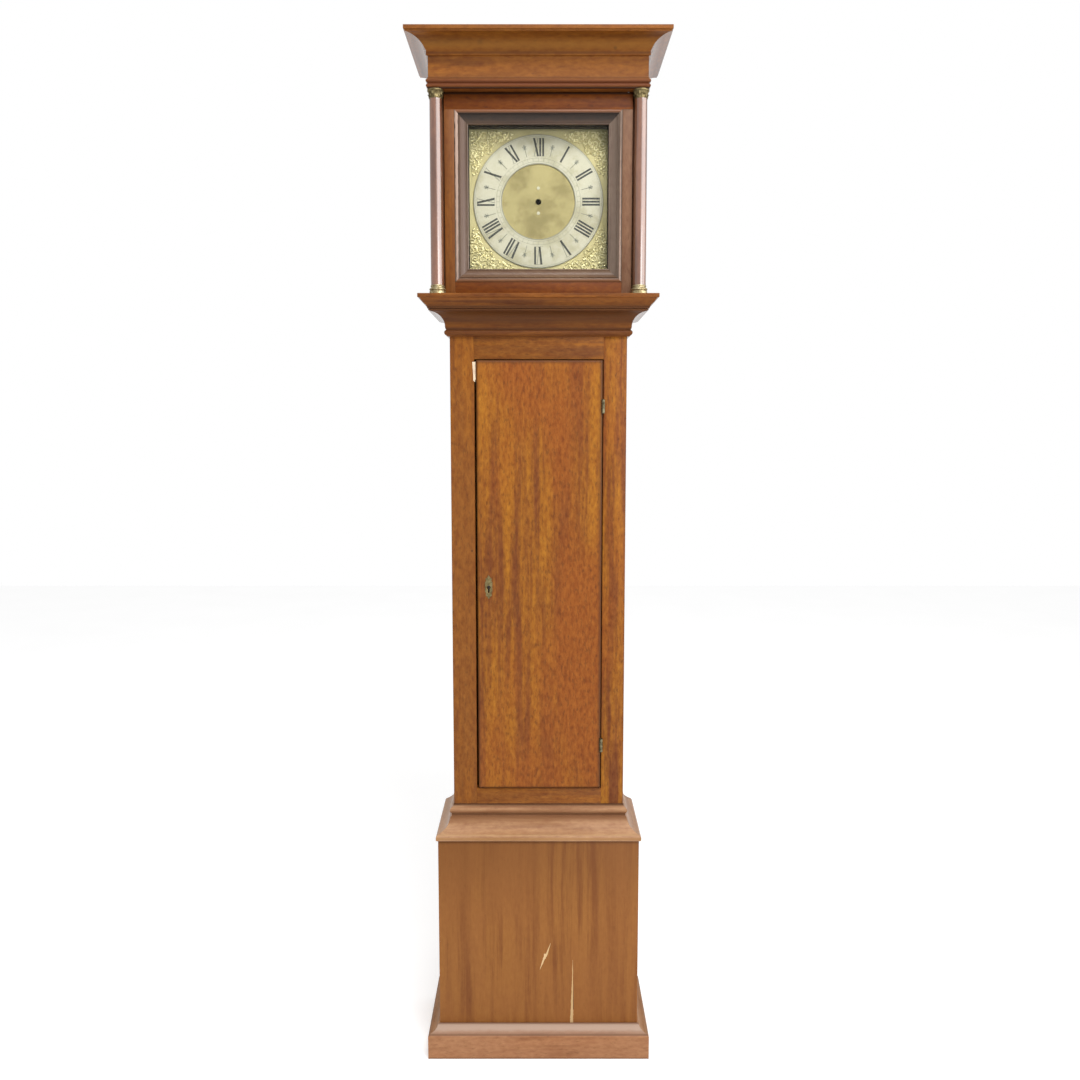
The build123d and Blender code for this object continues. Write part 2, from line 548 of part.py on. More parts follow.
def arbor(place, radius, y0=None, y1=None):
    """An arbor between the plates, with a smaller pivot at each end."""
    front, back = PLATES_Y + PLATE_THICKNESS, PLATES_Y + PLATE_THICKNESS + PLATE_SPACING
    body = along(place, radius, front + 0.4, back - 0.4)
    ends = (PLATES_Y if y0 is None else y0, back + PLATE_THICKNESS if y1 is None else y1)
    return body + along(place, PIVOT_RADIUS, *ends)


def rope_wheel(place, hub_radius):
    """A grooved wheel that the rope goes over, seen edge-on with its flanges either side of the rope."""
    groove = SPROCKET_RADIUS - ROPE_RADIUS - ROPE_TO_GROOVE
    half = SPROCKET_WIDTH / 2
    body = along(place, groove, ROPE_Y - half, ROPE_Y + half)
    for y in (ROPE_Y - half, ROPE_Y + half - 1.5):
        body += along(place, SPROCKET_RADIUS + 2, y, y + 1.5)
    return body + along(place, hub_radius, ROPE_Y + half, GREAT_WHEEL_Y)


def dial():
    """Square plate, chapter ring, four corner pieces, rivets and the feet that hold it to the movement."""
    front = DIAL_FRONT
    half = DIAL_SIZE / 2
    plate = block(-half, half, front, front + DIAL_THICKNESS, DIAL_CENTRE_Z - half, DIAL_CENTRE_Z + half)
    centre = (0, DIAL_CENTRE_Z)
    plate -= along(centre, CENTRE_HOLE_RADIUS, front - 1, front + DIAL_THICKNESS + 1)
    save("dial_plate", plate)
    ring = along(centre, RING_OUTER_RADIUS, front - RING_THICKNESS, front)
    save("chapter_ring", ring - along(centre, RING_INNER_RADIUS, front - RING_THICKNESS - 1, front + 1))
    edge, inner = half - 3.5, RING_OUTER_RADIUS + 3
    arc = [(inner * math.cos(math.radians(a)), inner * math.sin(math.radians(a))) for a in range(22, 69, 2)]
    low = arc[0][1]
    outline = [*arc, (low + 2, edge - 1), (low + 12, edge), (edge - 5, edge), (edge, edge - 5),
        (edge, low + 12), (edge - 1, low + 2)]
    corners = []
    for sx, sz in ((1, 1), (-1, 1), (-1, -1), (1, -1)):
        flat = [(sx * x, DIAL_CENTRE_Z + sz * z) for x, z in outline]
        corners.append(outline_prism(flat, Plane((0, front, 0), (1, 0, 0), (0, -1, 0)), SPANDREL_THICKNESS))
    save("dial_spandrels", *corners)
    feet = []
    for sx in (-1, 1):
        for sz in (-1, 1):
            place = (sx * DIAL_FOOT_SPREAD[0], DIAL_CENTRE_Z - 8 + sz * DIAL_FOOT_SPREAD[1])
            feet.append(along(place, DIAL_FOOT_RADIUS, front + DIAL_THICKNESS, PLATES_Y))
    for rise in RIVETS_Z:
        place = (0, DIAL_CENTRE_Z + rise)
        feet.append(along(place, RIVET_RADIUS, front - 1.2, front))
    save("dial_feet_and_rivets", *feet)


def movement_frame():
    """Seatboard, plates, pillars, back cock, bell and bell stand."""
    depth_front = PLATES_Y - 15
    half_board = HALF_TRUNK
    back_edge = PLATES_Y + 2 * PLATE_THICKNESS + PLATE_SPACING + SEATBOARD_BACK_MARGIN
    board = block(-half_board, half_board, depth_front, back_edge,
        SEATBOARD_TOP - SEATBOARD_THICKNESS, SEATBOARD_TOP)
    for side in (-1, 1):
        x0, x1 = sorted((side * 18, side * 66))
        board -= block(x0, x1, 5, 32, SEATBOARD_TOP - SEATBOARD_THICKNESS - 1, SEATBOARD_TOP + 1)
    save("seatboard", board)
    low, high = SEATBOARD_TOP, SEATBOARD_TOP + PLATE_HEIGHT
    back_y = PLATES_Y + PLATE_THICKNESS + PLATE_SPACING
    hole = PIVOT_RADIUS + PIVOT_FIT
    wide = GREAT_NECK_RADIUS + PIVOT_FIT
    front = block(-PLATE_HALF_WIDTH, PLATE_HALF_WIDTH, PLATES_Y, PLATES_Y + PLATE_THICKNESS, low, high)
    back = block(-PLATE_HALF_WIDTH, PLATE_HALF_WIDTH, back_y, back_y + PLATE_THICKNESS, low, high)
    for place in (GOING_SECOND, ESCAPE, ANCHOR, STRIKE_GREAT, HOOP, WARNING, FLY, HAMMER):
        front -= along(place, hole, PLATES_Y - 1, PLATES_Y + 5)
    for place in (GOING_GREAT, GOING_SECOND, ESCAPE, HOOP, WARNING, FLY, HAMMER):
        back -= along(place, hole, back_y - 1, back_y + 5)
    front -= along(GOING_GREAT, wide, PLATES_Y - 1, PLATES_Y + 5)
    back -= along(STRIKE_GREAT, wide, back_y - 1, back_y + 5)
    back -= along(ANCHOR, 4.5, back_y - 1, back_y + 5)
    stud = along((0, DIAL_CENTRE_Z), HOUR_STUD_RADIUS, HOUR_PIPE_FRONT + 0.5, PLATES_Y)
    save("front_plate", front)
    save("back_plate", back)
    pillars = []
    for sx in (-1, 1):
        for z in (low + PILLAR_INSET[1], high - PILLAR_INSET[1]):
            place = (sx * (PLATE_HALF_WIDTH - PILLAR_INSET[0]), z)
            pillars.append(along(place, PILLAR_RADIUS, PLATES_Y + PLATE_THICKNESS, back_y))
    count_stud = along(COUNT, HOUR_STUD_RADIUS, back_y + PLATE_THICKNESS, back_y + PLATE_THICKNESS + 6)
    save("pillars_and_studs", *pillars, stud, count_stud)
    cock_y = back_y + PLATE_THICKNESS
    bridge = block(-28, 28, cock_y + 6, cock_y + 9, ANCHOR[1] - 8, ANCHOR[1] + 12)
    for side in (-1, 1):
        x0, x1 = sorted((side * 22, side * 28))
        bridge += block(x0, x1, cock_y, cock_y + 6, ANCHOR[1] - 8, ANCHOR[1] + 12)
    bridge -= along(ANCHOR, hole, cock_y + 5, cock_y + 10)
    peg = along(ANCHOR, PENDULUM_PEG_RADIUS, cock_y + 9, PENDULUM_Y + 2.6)
    peg += along(ANCHOR, PENDULUM_PEG_RADIUS + 2, PENDULUM_Y + 2.4, PENDULUM_Y + 4)
    save("back_cock", bridge + (peg - along(ANCHOR, hole, cock_y + 8, cock_y + 9.6)))
    crown = BELL_RIM_Z + 32
    outer = [(BELL_RADIUS, 0), (BELL_RADIUS - 1, 4), (BELL_RADIUS - 5, 14), (BELL_RADIUS - 13, 24),
        (BELL_RADIUS - 26, 30.5), (2.6, 32)]
    inner = [(2.6, 32 - BELL_WALL), (BELL_RADIUS - 27, 28), (BELL_RADIUS - 15, 21.5),
        (BELL_RADIUS - 7.5, 12.5), (BELL_RADIUS - 3.5, 0)]
    section = make_face(Polyline(*[(r, 0, h) for r, h in outer + inner], close=True))
    save("bell", Pos(0, BELL_Y, BELL_RIM_Z) * revolve(section, Axis.Z))
    stand = block(31, 37, cock_y, cock_y + 2.5, high - 40, crown + 10)
    stand += rod(2.5, (34, cock_y + 1.25, crown + 7), (0, BELL_Y, crown + 7))
    stand += rod(2.5, (0, BELL_Y, crown - 6), (0, BELL_Y, crown + 10))
    stand += rod(5, (0, BELL_Y, crown), (0, BELL_Y, crown + 2))
    save("bell_stand", stand)


def going_train():
    """Great wheel, second wheel, escape wheel, hour wheel, anchor with its crutch."""
    great = arbor(GOING_GREAT, GREAT_ARBOR_RADIUS)
    great += wheel(GOING_GREAT, GREAT_TEETH, GREAT_MODULE, GREAT_WHEEL_Y,
        turn=facing(GOING_GREAT, GOING_SECOND))
    great += rope_wheel(GOING_GREAT, 9) + along(GOING_GREAT, GREAT_NECK_RADIUS, REPORT_Y,
        PLATES_Y + PLATE_THICKNESS + 1)
    hour_place = (0, DIAL_CENTRE_Z)
    great += pinion(GOING_GREAT, REPORT_LEAVES, HOUR_MODULE, REPORT_Y, 7,
        leaf_gap(GOING_GREAT, hour_place, REPORT_LEAVES))
    save("going_great_wheel", great)
    second = arbor(GOING_SECOND, 2.5) + pinion(GOING_SECOND, PINION_LEAVES, GREAT_MODULE, 30.5, 8,
        leaf_gap(GOING_SECOND, GOING_GREAT))
    second += wheel(GOING_SECOND, SECOND_TEETH, SECOND_MODULE, 44, THIN_WHEEL, facing(GOING_SECOND, ESCAPE))
    save("second_wheel", second)
    escape = arbor(ESCAPE, 2) + pinion(ESCAPE, PINION_LEAVES, SECOND_MODULE, 41, 8,
        leaf_gap(ESCAPE, GOING_SECOND))
    points = []
    for i in range(ESCAPE_TEETH):
        a = 2 * math.pi * i / ESCAPE_TEETH
        points += [((ESCAPE_RADIUS - 3.2), a - 0.035), (ESCAPE_RADIUS, a + 0.045),
            (ESCAPE_RADIUS, a + 0.06), (ESCAPE_RADIUS - 3.2, a + 0.09)]
    flat = [(ESCAPE[0] + r * math.cos(a), ESCAPE[1] + r * math.sin(a)) for r, a in points]
    escape += outline_prism(flat, Plane((0, 60, 0), (1, 0, 0), (0, -1, 0)), THIN_WHEEL)
    save("escape_wheel", escape)
    pipe = along(hour_place, HOUR_STUD_RADIUS + 1.8, HOUR_PIPE_FRONT, HOUR_WHEEL_Y + THIN_WHEEL + 2)
    hour = pipe + wheel(hour_place, HOUR_TEETH, HOUR_MODULE, HOUR_WHEEL_Y, THIN_WHEEL,
        facing(hour_place, GOING_GREAT))
    hour -= along(hour_place, HOUR_STUD_RADIUS + STUD_FIT, HOUR_PIPE_FRONT - 1,
        HOUR_WHEEL_Y + THIN_WHEEL + 3)
    save("hour_wheel", hour)
    cock_y = PLATES_Y + 2 * PLATE_THICKNESS + PLATE_SPACING
    anchor = along(ANCHOR, 2.5, PLATES_Y + PLATE_THICKNESS + 0.4, cock_y + 5.6) + along(ANCHOR,
        PIVOT_RADIUS, PLATES_Y, cock_y + 9)
    ax, az = ANCHOR
    tip = (ESCAPE_RADIUS + PALLET_CLEARANCE) / math.sqrt(2)
    tip_z = ESCAPE[1] + tip - az
    arms = [(0, 6), (10, 4), (tip + 4, tip_z + 5), (tip + 3, tip_z + 0.6), (tip, tip_z),
        (tip - 2, tip_z + 3.5), (7, -3), (0, -5), (-7, -3), (-tip + 2, tip_z + 3.5), (-tip, tip_z),
        (-tip - 3, tip_z + 0.6), (-tip - 4, tip_z + 5), (-10, 4)]
    anchor += outline_prism([(ax + x, az + z) for x, z in arms],
        Plane((0, 61, 0), (1, 0, 0), (0, -1, 0)), 4)
    anchor += along(ANCHOR, 4, cock_y + 1, cock_y + 4.5)
    anchor += block(-2.2, 2.2, cock_y + 1.5, cock_y + 3.5, az - CRUTCH_LENGTH, az)
    fork = block(-6, 6, cock_y + 1.5, PENDULUM_Y + 5, az - CRUTCH_LENGTH - 3, az - CRUTCH_LENGTH)
    fork -= block(-PENDULUM_ROD_RADIUS - 0.4, PENDULUM_ROD_RADIUS + 0.4, PENDULUM_Y - 4, PENDULUM_Y + 6,
        az - CRUTCH_LENGTH - 4, az - CRUTCH_LENGTH + 1)
    save("anchor_and_crutch", anchor + fork)


def pendulum():
    """Rod with its eye over the cock's peg, the brass-faced bob and the rating nut below it."""
    az = ANCHOR[1]
    low = az - PENDULUM_LENGTH
    eye = along(ANCHOR, 5, PENDULUM_Y - 1.8, PENDULUM_Y + 1.8)
    stem = rod(PENDULUM_ROD_RADIUS, (0, PENDULUM_Y, low - BOB_RADIUS - 26), (0, PENDULUM_Y, az - 3.5))
    blade = block(-3, 3, PENDULUM_Y - 0.8, PENDULUM_Y + 0.8, az - 30, az)
    body = eye + stem + blade - along(ANCHOR, PENDULUM_PEG_RADIUS + PIVOT_FIT, PENDULUM_Y - 3,
        PENDULUM_Y + 2.2)
    save("pendulum_rod", body)
    half = BOB_THICKNESS / 2
    lens = [(BOB_RADIUS - 4, -half * 0.55), (BOB_RADIUS, -half * 0.2), (BOB_RADIUS, half * 0.2),
        (BOB_RADIUS - 4, half * 0.55)]
    face = [(BOB_RADIUS * 0.3, -half), (BOB_RADIUS * 0.65, -half * 0.85), *lens,
        (BOB_RADIUS * 0.65, half * 0.85), (BOB_RADIUS * 0.3, half)]
    bob = turned(face, (0, PENDULUM_Y, low), (0, 1, 0))
    bore = rod(PENDULUM_ROD_RADIUS, (0, PENDULUM_Y, low - BOB_RADIUS - 30),
        (0, PENDULUM_Y, low + BOB_RADIUS + 5))
    nut = rod(7, (0, PENDULUM_Y, low - BOB_RADIUS - 10), (0, PENDULUM_Y, low - BOB_RADIUS)) - bore
    save("pendulum_bob", bob - bore, nut)


def strike_train():
    """Great wheel with its hammer pins, hoop wheel, warning wheel, fly, count wheel and hammer."""
    back_y = PLATES_Y + PLATE_THICKNESS + PLATE_SPACING
    cock_y = back_y + PLATE_THICKNESS
    great = arbor(STRIKE_GREAT, GREAT_ARBOR_RADIUS) + rope_wheel(STRIKE_GREAT, 9)
    great += wheel(STRIKE_GREAT, GREAT_TEETH, GREAT_MODULE, GREAT_WHEEL_Y, turn=facing(STRIKE_GREAT, HOOP))
    for i in range(8):
        angle = math.radians(22.5 + 45 * i)
        place = (STRIKE_GREAT[0] + HAMMER_PIN_CIRCLE * math.cos(angle),
            STRIKE_GREAT[1] + HAMMER_PIN_CIRCLE * math.sin(angle))
        great += along(place, 1.2, GREAT_WHEEL_Y + 1, GREAT_WHEEL_Y + 8)
    great += along(STRIKE_GREAT, GREAT_NECK_RADIUS, back_y - 1, cock_y + 4.5)
    great += pinion(STRIKE_GREAT, PINION_LEAVES, COUNT_MODULE, cock_y + 0.8, 3.7,
        leaf_gap(STRIKE_GREAT, COUNT))
    save("strike_great_wheel", great)
    hoop = arbor(HOOP, 2.5) + pinion(HOOP, PINION_LEAVES, GREAT_MODULE, 30.5, 8,
        leaf_gap(HOOP, STRIKE_GREAT))
    hoop += wheel(HOOP, HOOP_TEETH, HOOP_MODULE, 44, THIN_WHEEL, facing(HOOP, WARNING))
    save("hoop_wheel", hoop)
    warning = arbor(WARNING, 2) + pinion(WARNING, PINION_LEAVES, HOOP_MODULE, 41, 8,
        leaf_gap(WARNING, HOOP))
    warning += wheel(WARNING, WARNING_TEETH, WARNING_MODULE, 54, THIN_WHEEL, facing(WARNING, FLY))
    save("warning_wheel", warning)
    fly = arbor(FLY, 1.8) + pinion(FLY, PINION_LEAVES, WARNING_MODULE, 51, 8, leaf_gap(FLY, WARNING))
    fly += block(FLY[0] - 15, FLY[0] + 15, 20, 36, FLY[1] - 0.5, FLY[1] + 0.5)
    save("fly", fly)
    count = wheel(COUNT, COUNT_TEETH, COUNT_MODULE, cock_y + 1.2, THIN_WHEEL, facing(COUNT, STRIKE_GREAT))
    save("count_wheel", count - along(COUNT, HOUR_STUD_RADIUS + STUD_FIT, cock_y, cock_y + 6))
    hx, hz = HAMMER
    hammer = arbor(HAMMER, 2.5)
    head_z, head_x = BELL_RIM_Z + 3, -BELL_RADIUS - 1.5
    hammer += rod(2, (hx, BELL_Y, hz), (head_x - 7, BELL_Y, hz + 55)) + rod(2,
        (head_x - 7, BELL_Y, hz + 53.5), (head_x - 7, BELL_Y, head_z))
    hammer += rod(5.5, (head_x - 13, BELL_Y, head_z), (head_x, BELL_Y, head_z))
    towards = math.radians(facing(HAMMER, STRIKE_GREAT))
    reach = math.dist(HAMMER, STRIKE_GREAT) - HAMMER_PIN_CIRCLE - 2.2
    tail = rod(1.6, (hx, BELL_Y - 4, hz), (hx + reach * math.cos(towards), BELL_Y - 4,
        hz + reach * math.sin(towards)))
    save("bell_hammer", hammer + tail)


def weights_and_rope():
    """Driving weight with its pulley, the small counterweight and the endless rope."""
    y, groove = ROPE_Y, PULLEY_RADIUS - ROPE_RADIUS - ROPE_TO_GROOVE
    centre = (0, PULLEY_Z)
    pulley = along(centre, groove, y - 4.5, y + 4.5)
    for y0 in (y - 5.5, y + 4):
        pulley += along(centre, PULLEY_RADIUS + 2, y0, y0 + 1.5)
    pulley -= along(centre, 3 + STUD_FIT, y - 7, y + 7)
    save("weight_pulley", pulley)
    base_z = PULLEY_Z - PULLEY_RADIUS - 10
    stirrup = along(centre, 3, y - 9, y + 9)
    for y0 in (y - 9, y + 7):
        stirrup += block(-6, 6, y0, y0 + 2, base_z, PULLEY_Z + 7)
    stirrup += block(-6, 6, y - 9, y + 9, base_z - 3, base_z)
    top = base_z - 18
    stirrup += rod(2.5, (0, y, top), (0, y, base_z - 2))
    r = WEIGHT_RADIUS
    weight = turned([(r - 2, top - WEIGHT_HEIGHT), (r, top - WEIGHT_HEIGHT + 2), (r, top - 8),
        (r - 3, top - 4), (8, top)], (0, y, 0))
    save("weight_stirrup", stirrup)
    save("driving_weight", weight)
    bottom = RING_Z - RING_BIGHT_RADIUS
    eye = Pos(0, RING_Y, bottom - 0.6) * Rot(0, 90, 0) * Torus(4.5, 1.2)
    eye_low = bottom - 0.6 - 4.5
    lead = turned([(RING_WEIGHT_RADIUS - 1, eye_low - 2 - RING_WEIGHT_LENGTH),
        (RING_WEIGHT_RADIUS, eye_low - 1 - RING_WEIGHT_LENGTH), (RING_WEIGHT_RADIUS, eye_low - 4),
        (4, eye_low)], (0, RING_Y, 0))
    save("counterweight", eye + lead)
    r = ROPE_RADIUS
    top_bights, inner, outer = [], [], []
    for side in (-1, 1):
        cx = side * GOING_GREAT[0]
        half_ring = Rot(90, 0, 0) * Torus(SPROCKET_RADIUS, r)
        upper = half_ring & (Pos(0, 0, 50) * Box(100, 100, 100))
        top_bights.append(Pos(cx, y, GOING_GREAT[1]) * upper)
        near, far = cx - side * SPROCKET_RADIUS, cx + side * SPROCKET_RADIUS
        inner.append(rod(r, (near, y, PULLEY_Z), (near, y, GOING_GREAT[1])))
        ends = Vector(side * RING_BIGHT_RADIUS, RING_Y, RING_Z), Vector(far, y, GOING_GREAT[1])
        slab = Pos(0, 0, (RING_Z + GOING_GREAT[1]) / 2) * Box(400, 400, GOING_GREAT[1] - RING_Z)
        way = (ends[1] - ends[0]).normalized() * 6
        outer.append(rod(r, ends[0] - way, ends[1] + way) & slab)
    save("rope_over_sprockets", *top_bights)
    save("rope_inner_falls", *inner)
    save("rope_outer_falls", *outer)
    lower = (Rot(90, 0, 0) * Torus(PULLEY_RADIUS, r)) & (Pos(0, 0, -50) * Box(100, 100, 100))
    save("rope_under_pulley", Pos(0, y, PULLEY_Z) * lower)
    small = (Rot(90, 0, 0) * Torus(RING_BIGHT_RADIUS, r)) & (Pos(0, 0, -50) * Box(100, 100, 100))
    save("rope_through_counterweight", Pos(0, RING_Y, RING_Z) * small)


# Worked-out sizes and places that several pieces share; the origin is the middle of the floor rectangle
# that the whole clock covers, and the case is as deep as the movement and its pendulum need
TRUNK_DEPTH = PLATES_SETBACK + 2 * PLATE_THICKNESS + PLATE_SPACING + PENDULUM_SETBACK
TRUNK_DEPTH += PENDULUM_TO_BACKBOARD + BACKBOARD_THICKNESS
TRUNK_FRONT = (CORNICE_OUT - TRUNK_DEPTH) / 2
CASE_BACK = TRUNK_FRONT + TRUNK_DEPTH
BACKBOARD_FRONT = CASE_BACK - BACKBOARD_THICKNESS
HALF_TRUNK = TRUNK_WIDTH / 2
HALF_PLINTH = HALF_TRUNK + PLINTH_OUT
PLINTH_FRONT = TRUNK_FRONT - PLINTH_OUT
ENTABLATURE_BOTTOM = CLOCK_HEIGHT - ENTABLATURE_HEIGHT
HOOD_DOOR_WIDTH = 2 * (HALF_TRUNK + HOOD_DOOR_SIDE_OUT)
COLUMN_CENTRE_X = HALF_TRUNK + COLUMN_SIDE_OUT
MASK_FRONT = TRUNK_FRONT - HOOD_DOOR_FRONT_OUT + HOOD_DOOR_THICKNESS + HOOD_DOOR_BACK_GAP
MASK_BACK = MASK_FRONT + MASK_THICKNESS
CHEEK_SETBACK = MASK_BACK + RUNNING_GAP - TRUNK_FRONT
HINGE_X = DOOR_OPENING_RIGHT - DOOR_GAP / 2
HINGE_Y = TRUNK_FRONT - HINGE_AXIS_PROUD
HOOD_PIVOT_X = HOOD_DOOR_WIDTH / 2 - HOOD_PIVOT_INSET
HOOD_PIVOT_Y = TRUNK_FRONT - HOOD_DOOR_FRONT_OUT + HOOD_PIVOT_DEPTH
DIAL_FRONT = TRUNK_FRONT + DIAL_SETBACK
PLATES_Y = TRUNK_FRONT + PLATES_SETBACK
PENDULUM_Y = PLATES_Y + 2 * PLATE_THICKNESS + PLATE_SPACING + PENDULUM_SETBACK
GREAT_WHEEL_Y = 33.0
GREAT_ARBOR_RADIUS = 4.0
GREAT_NECK_RADIUS = 2.2
REPORT_Y = -5.0
HOUR_WHEEL_Y = -3.0
HOUR_PIPE_FRONT = DIAL_FRONT + 1.4
HOUR_STUD_RADIUS = 2.6
CRUTCH_LENGTH = 46.0
PENDULUM_PEG_RADIUS = 2.0
SEATBOARD_THICKNESS = 18.0
FLOOR_BOARD_Z = 30.0
WALL_HOLE_RADIUS = 4.0
WALL_HOLE_Z = 1250.0
BOLT_Y = TRUNK_FRONT - DOOR_PROUD + DOOR_THICKNESS + 4.0
BOLT_HALF_THICKNESS = 1.5
BOLT_HALF_HEIGHT = 7.0
KEYHOLE_RADIUS = 3.6
ESCUTCHEON_OUTLINE = [(-7, 10), (-5, 13), (-6.5, 17), (-3, 19), (0, 24), (3, 19), (6.5, 17), (5, 13),
    (7, 10), (7, -8), (5, -12), (6, -16), (3, -18), (0, -23), (-3, -18), (-6, -16), (-5, -12),
    (-7, -8)]


def main():
    os.makedirs("parts", exist_ok=True)
    trunk()
    plinth()
    throat()
    trunk_door()
    hood()
    hood_door()
    dial()
    movement_frame()
    going_train()
    pendulum()
    strike_train()
    weights_and_rope()


main()
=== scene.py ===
import logging
import math
import random
from dataclasses import dataclass
from enum import Enum
from typing import Callable, ClassVar, Sequence

import bmesh
import bpy
from mathutils import Matrix, Vector


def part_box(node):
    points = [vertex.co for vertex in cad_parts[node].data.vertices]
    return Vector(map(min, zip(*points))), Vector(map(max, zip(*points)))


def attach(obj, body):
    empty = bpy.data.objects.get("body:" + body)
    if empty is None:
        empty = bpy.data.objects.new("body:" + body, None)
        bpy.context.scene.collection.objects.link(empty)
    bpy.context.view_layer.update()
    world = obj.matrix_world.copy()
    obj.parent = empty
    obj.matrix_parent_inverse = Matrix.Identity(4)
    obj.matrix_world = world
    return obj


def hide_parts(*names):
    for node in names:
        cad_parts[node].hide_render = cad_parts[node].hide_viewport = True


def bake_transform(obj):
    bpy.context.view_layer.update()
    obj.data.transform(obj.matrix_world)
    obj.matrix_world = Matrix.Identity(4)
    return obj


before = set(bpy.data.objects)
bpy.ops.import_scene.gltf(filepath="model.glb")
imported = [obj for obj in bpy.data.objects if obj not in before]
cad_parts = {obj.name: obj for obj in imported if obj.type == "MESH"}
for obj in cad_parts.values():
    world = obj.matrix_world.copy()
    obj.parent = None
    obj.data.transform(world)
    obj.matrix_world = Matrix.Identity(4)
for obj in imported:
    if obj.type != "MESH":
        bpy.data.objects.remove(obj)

logging.basicConfig(level=logging.INFO, format="%(name)s: %(message)s")
LOG = logging.getLogger("longcase clock")

MM = 0.001
Point = tuple[float, float, float]
Pair = tuple[float, float]
Colour = tuple[float, float, float]
Socket = bpy.types.NodeSocket
Maker = Callable[[bpy.types.GeometryNodeTree, dict], Socket]
Placing = Callable[[float, float, float], Point]
Mirroring = Callable[[float, float], Pair]


class Grain(Enum):
    """The way that a board's grain runs, as the turn that brings it upright."""

    ALONG_X = (0.0, -math.pi / 2, 0.0)
    ALONG_Y = (math.pi / 2, 0.0, 0.0)
    ALONG_Z = (0.0, 0.0, 0.0)


@dataclass(frozen=True)
class Extent:
    """The box that a frame node fills at rest, in millimetres."""

    x0: float
    y0: float
    z0: float
    x1: float
    y1: float
    z1: float

    @classmethod
    def of(cls, node: str) -> "Extent":
        """The extent of a frame node, in millimetres."""
        low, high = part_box(node)
        return cls(*(v / MM for v in low), *(v / MM for v in high))


def metres(place: Sequence[float]) -> Point:
    """A place given in millimetres, in metres."""
    return tuple(v * MM for v in place)


class NodeNet:
    """A node tree with short ways to add and join nodes."""

    def __init__(self, tree: bpy.types.NodeTree) -> None:
        """Takes the tree that it adds to."""
        self.tree = tree

    def add(self, kind: str, settings: dict | None = None, **sockets: object) -> bpy.types.Node:
        """Adds a node, sets its properties and fills or links its inputs.

        Args:
            kind: the node's Blender type.
            settings: properties to set on the node before its sockets.
            **sockets: input name, with underscores for spaces, to a value or an output socket.

        Returns:
            The new node.
        """
        node = self.tree.nodes.new(kind)
        for key, value in (settings or {}).items():
            setattr(node, key, value)
        for key, value in sockets.items():
            name = key.replace("_", " ")
            places = [s for s in node.inputs if s.name == name and s.enabled] or [node.inputs[int(key[1:])]]
            self.feed(places[0], value)
        return node

    def feed(self, place: Socket, value: object) -> None:
        """Fills an input: a socket is linked to it, and a plain value is set on it.

        Args:
            place: the input.
            value: an output socket, or a plain value.
        """
        if isinstance(value, Socket):
            self.tree.links.new(value, place)
        else:
            place.default_value = value

    def maths(self, operation: str, a: object, b: object = 0.0, c: object = 0.0) -> Socket:
        """Works out a sum.

        Args:
            operation: the maths node's operation.
            a, b, c: values or output sockets, as many as the operation takes.

        Returns:
            The result's socket.
        """
        node = self.add("ShaderNodeMath", {"operation": operation})
        for place, value in zip(node.inputs, (a, b, c)):
            self.feed(place, value)
        return node.outputs[0]

    def blend(self, amount: object, a: object, b: object, mode: str = "MIX") -> Socket:
        """Mixes two colours.

        Args:
            amount: the share of b, from 0 to 1, as a value or a socket.
            a: the first colour, as a tuple or a socket.
            b: the second colour.
            mode: the mix node's blend type.

        Returns:
            The mixed colour's socket.
        """
        node = self.add("ShaderNodeMix", {"data_type": "RGBA", "blend_type": mode})
        for place, value in zip((node.inputs[0], node.inputs[6], node.inputs[7]), (amount, a, b)):
            self.feed(place, (*value, 1.0) if isinstance(value, tuple) else value)
        return node.outputs[2]

    def apart(self, a: object, b: object) -> Socket:
        """The distance between two places."""
        return self.add("ShaderNodeVectorMath", {"operation": "DISTANCE"}, i0=a, i1=b).outputs["Value"]

    def dot(self, a: object, b: object) -> Socket:
        """The dot product of two vectors."""
        return self.add("ShaderNodeVectorMath", {"operation": "DOT_PRODUCT"}, i0=a, i1=b).outputs["Value"]

    def between(self, value: Socket, low: float, high: float) -> Socket:
        """Brings a value from a range into 0 to 1, with soft ends.

        Args:
            value: the value's socket.
            low: what comes out as 0.
            high: what comes out as 1; below low, the result falls as the value rises.

        Returns:
            The result's socket.
        """
        node = self.add("ShaderNodeMapRange", {"interpolation_type": "SMOOTHSTEP"}, Value=value)
        node.inputs["From Min"].default_value = low
        node.inputs["From Max"].default_value = high
        return node.outputs[0]

    def noise(self, vector: Socket, scale: float, detail: float = 3.0, roughness: float = 0.5) -> Socket:
        """Noise over a vector.

        Args:
            vector: where it is read.
            scale: how fine it is.
            detail: how many finer layers it has.
            roughness: how strong they are.

        Returns:
            The noise as one value.
        """
        node = self.add("ShaderNodeTexNoise", None, Vector=vector, Scale=scale, Detail=detail,
                        Roughness=roughness)
        return node.outputs["Fac"]

    def stretch(self, vector: Socket, scale: Point, place: Point = (0, 0, 0),
                turn: Point = (0, 0, 0)) -> Socket:
        """Scales a vector, turns it by angles in radians, and moves it."""
        node = self.add("ShaderNodeMapping", None, Vector=vector, Location=place, Rotation=turn, Scale=scale)
        return node.outputs[0]


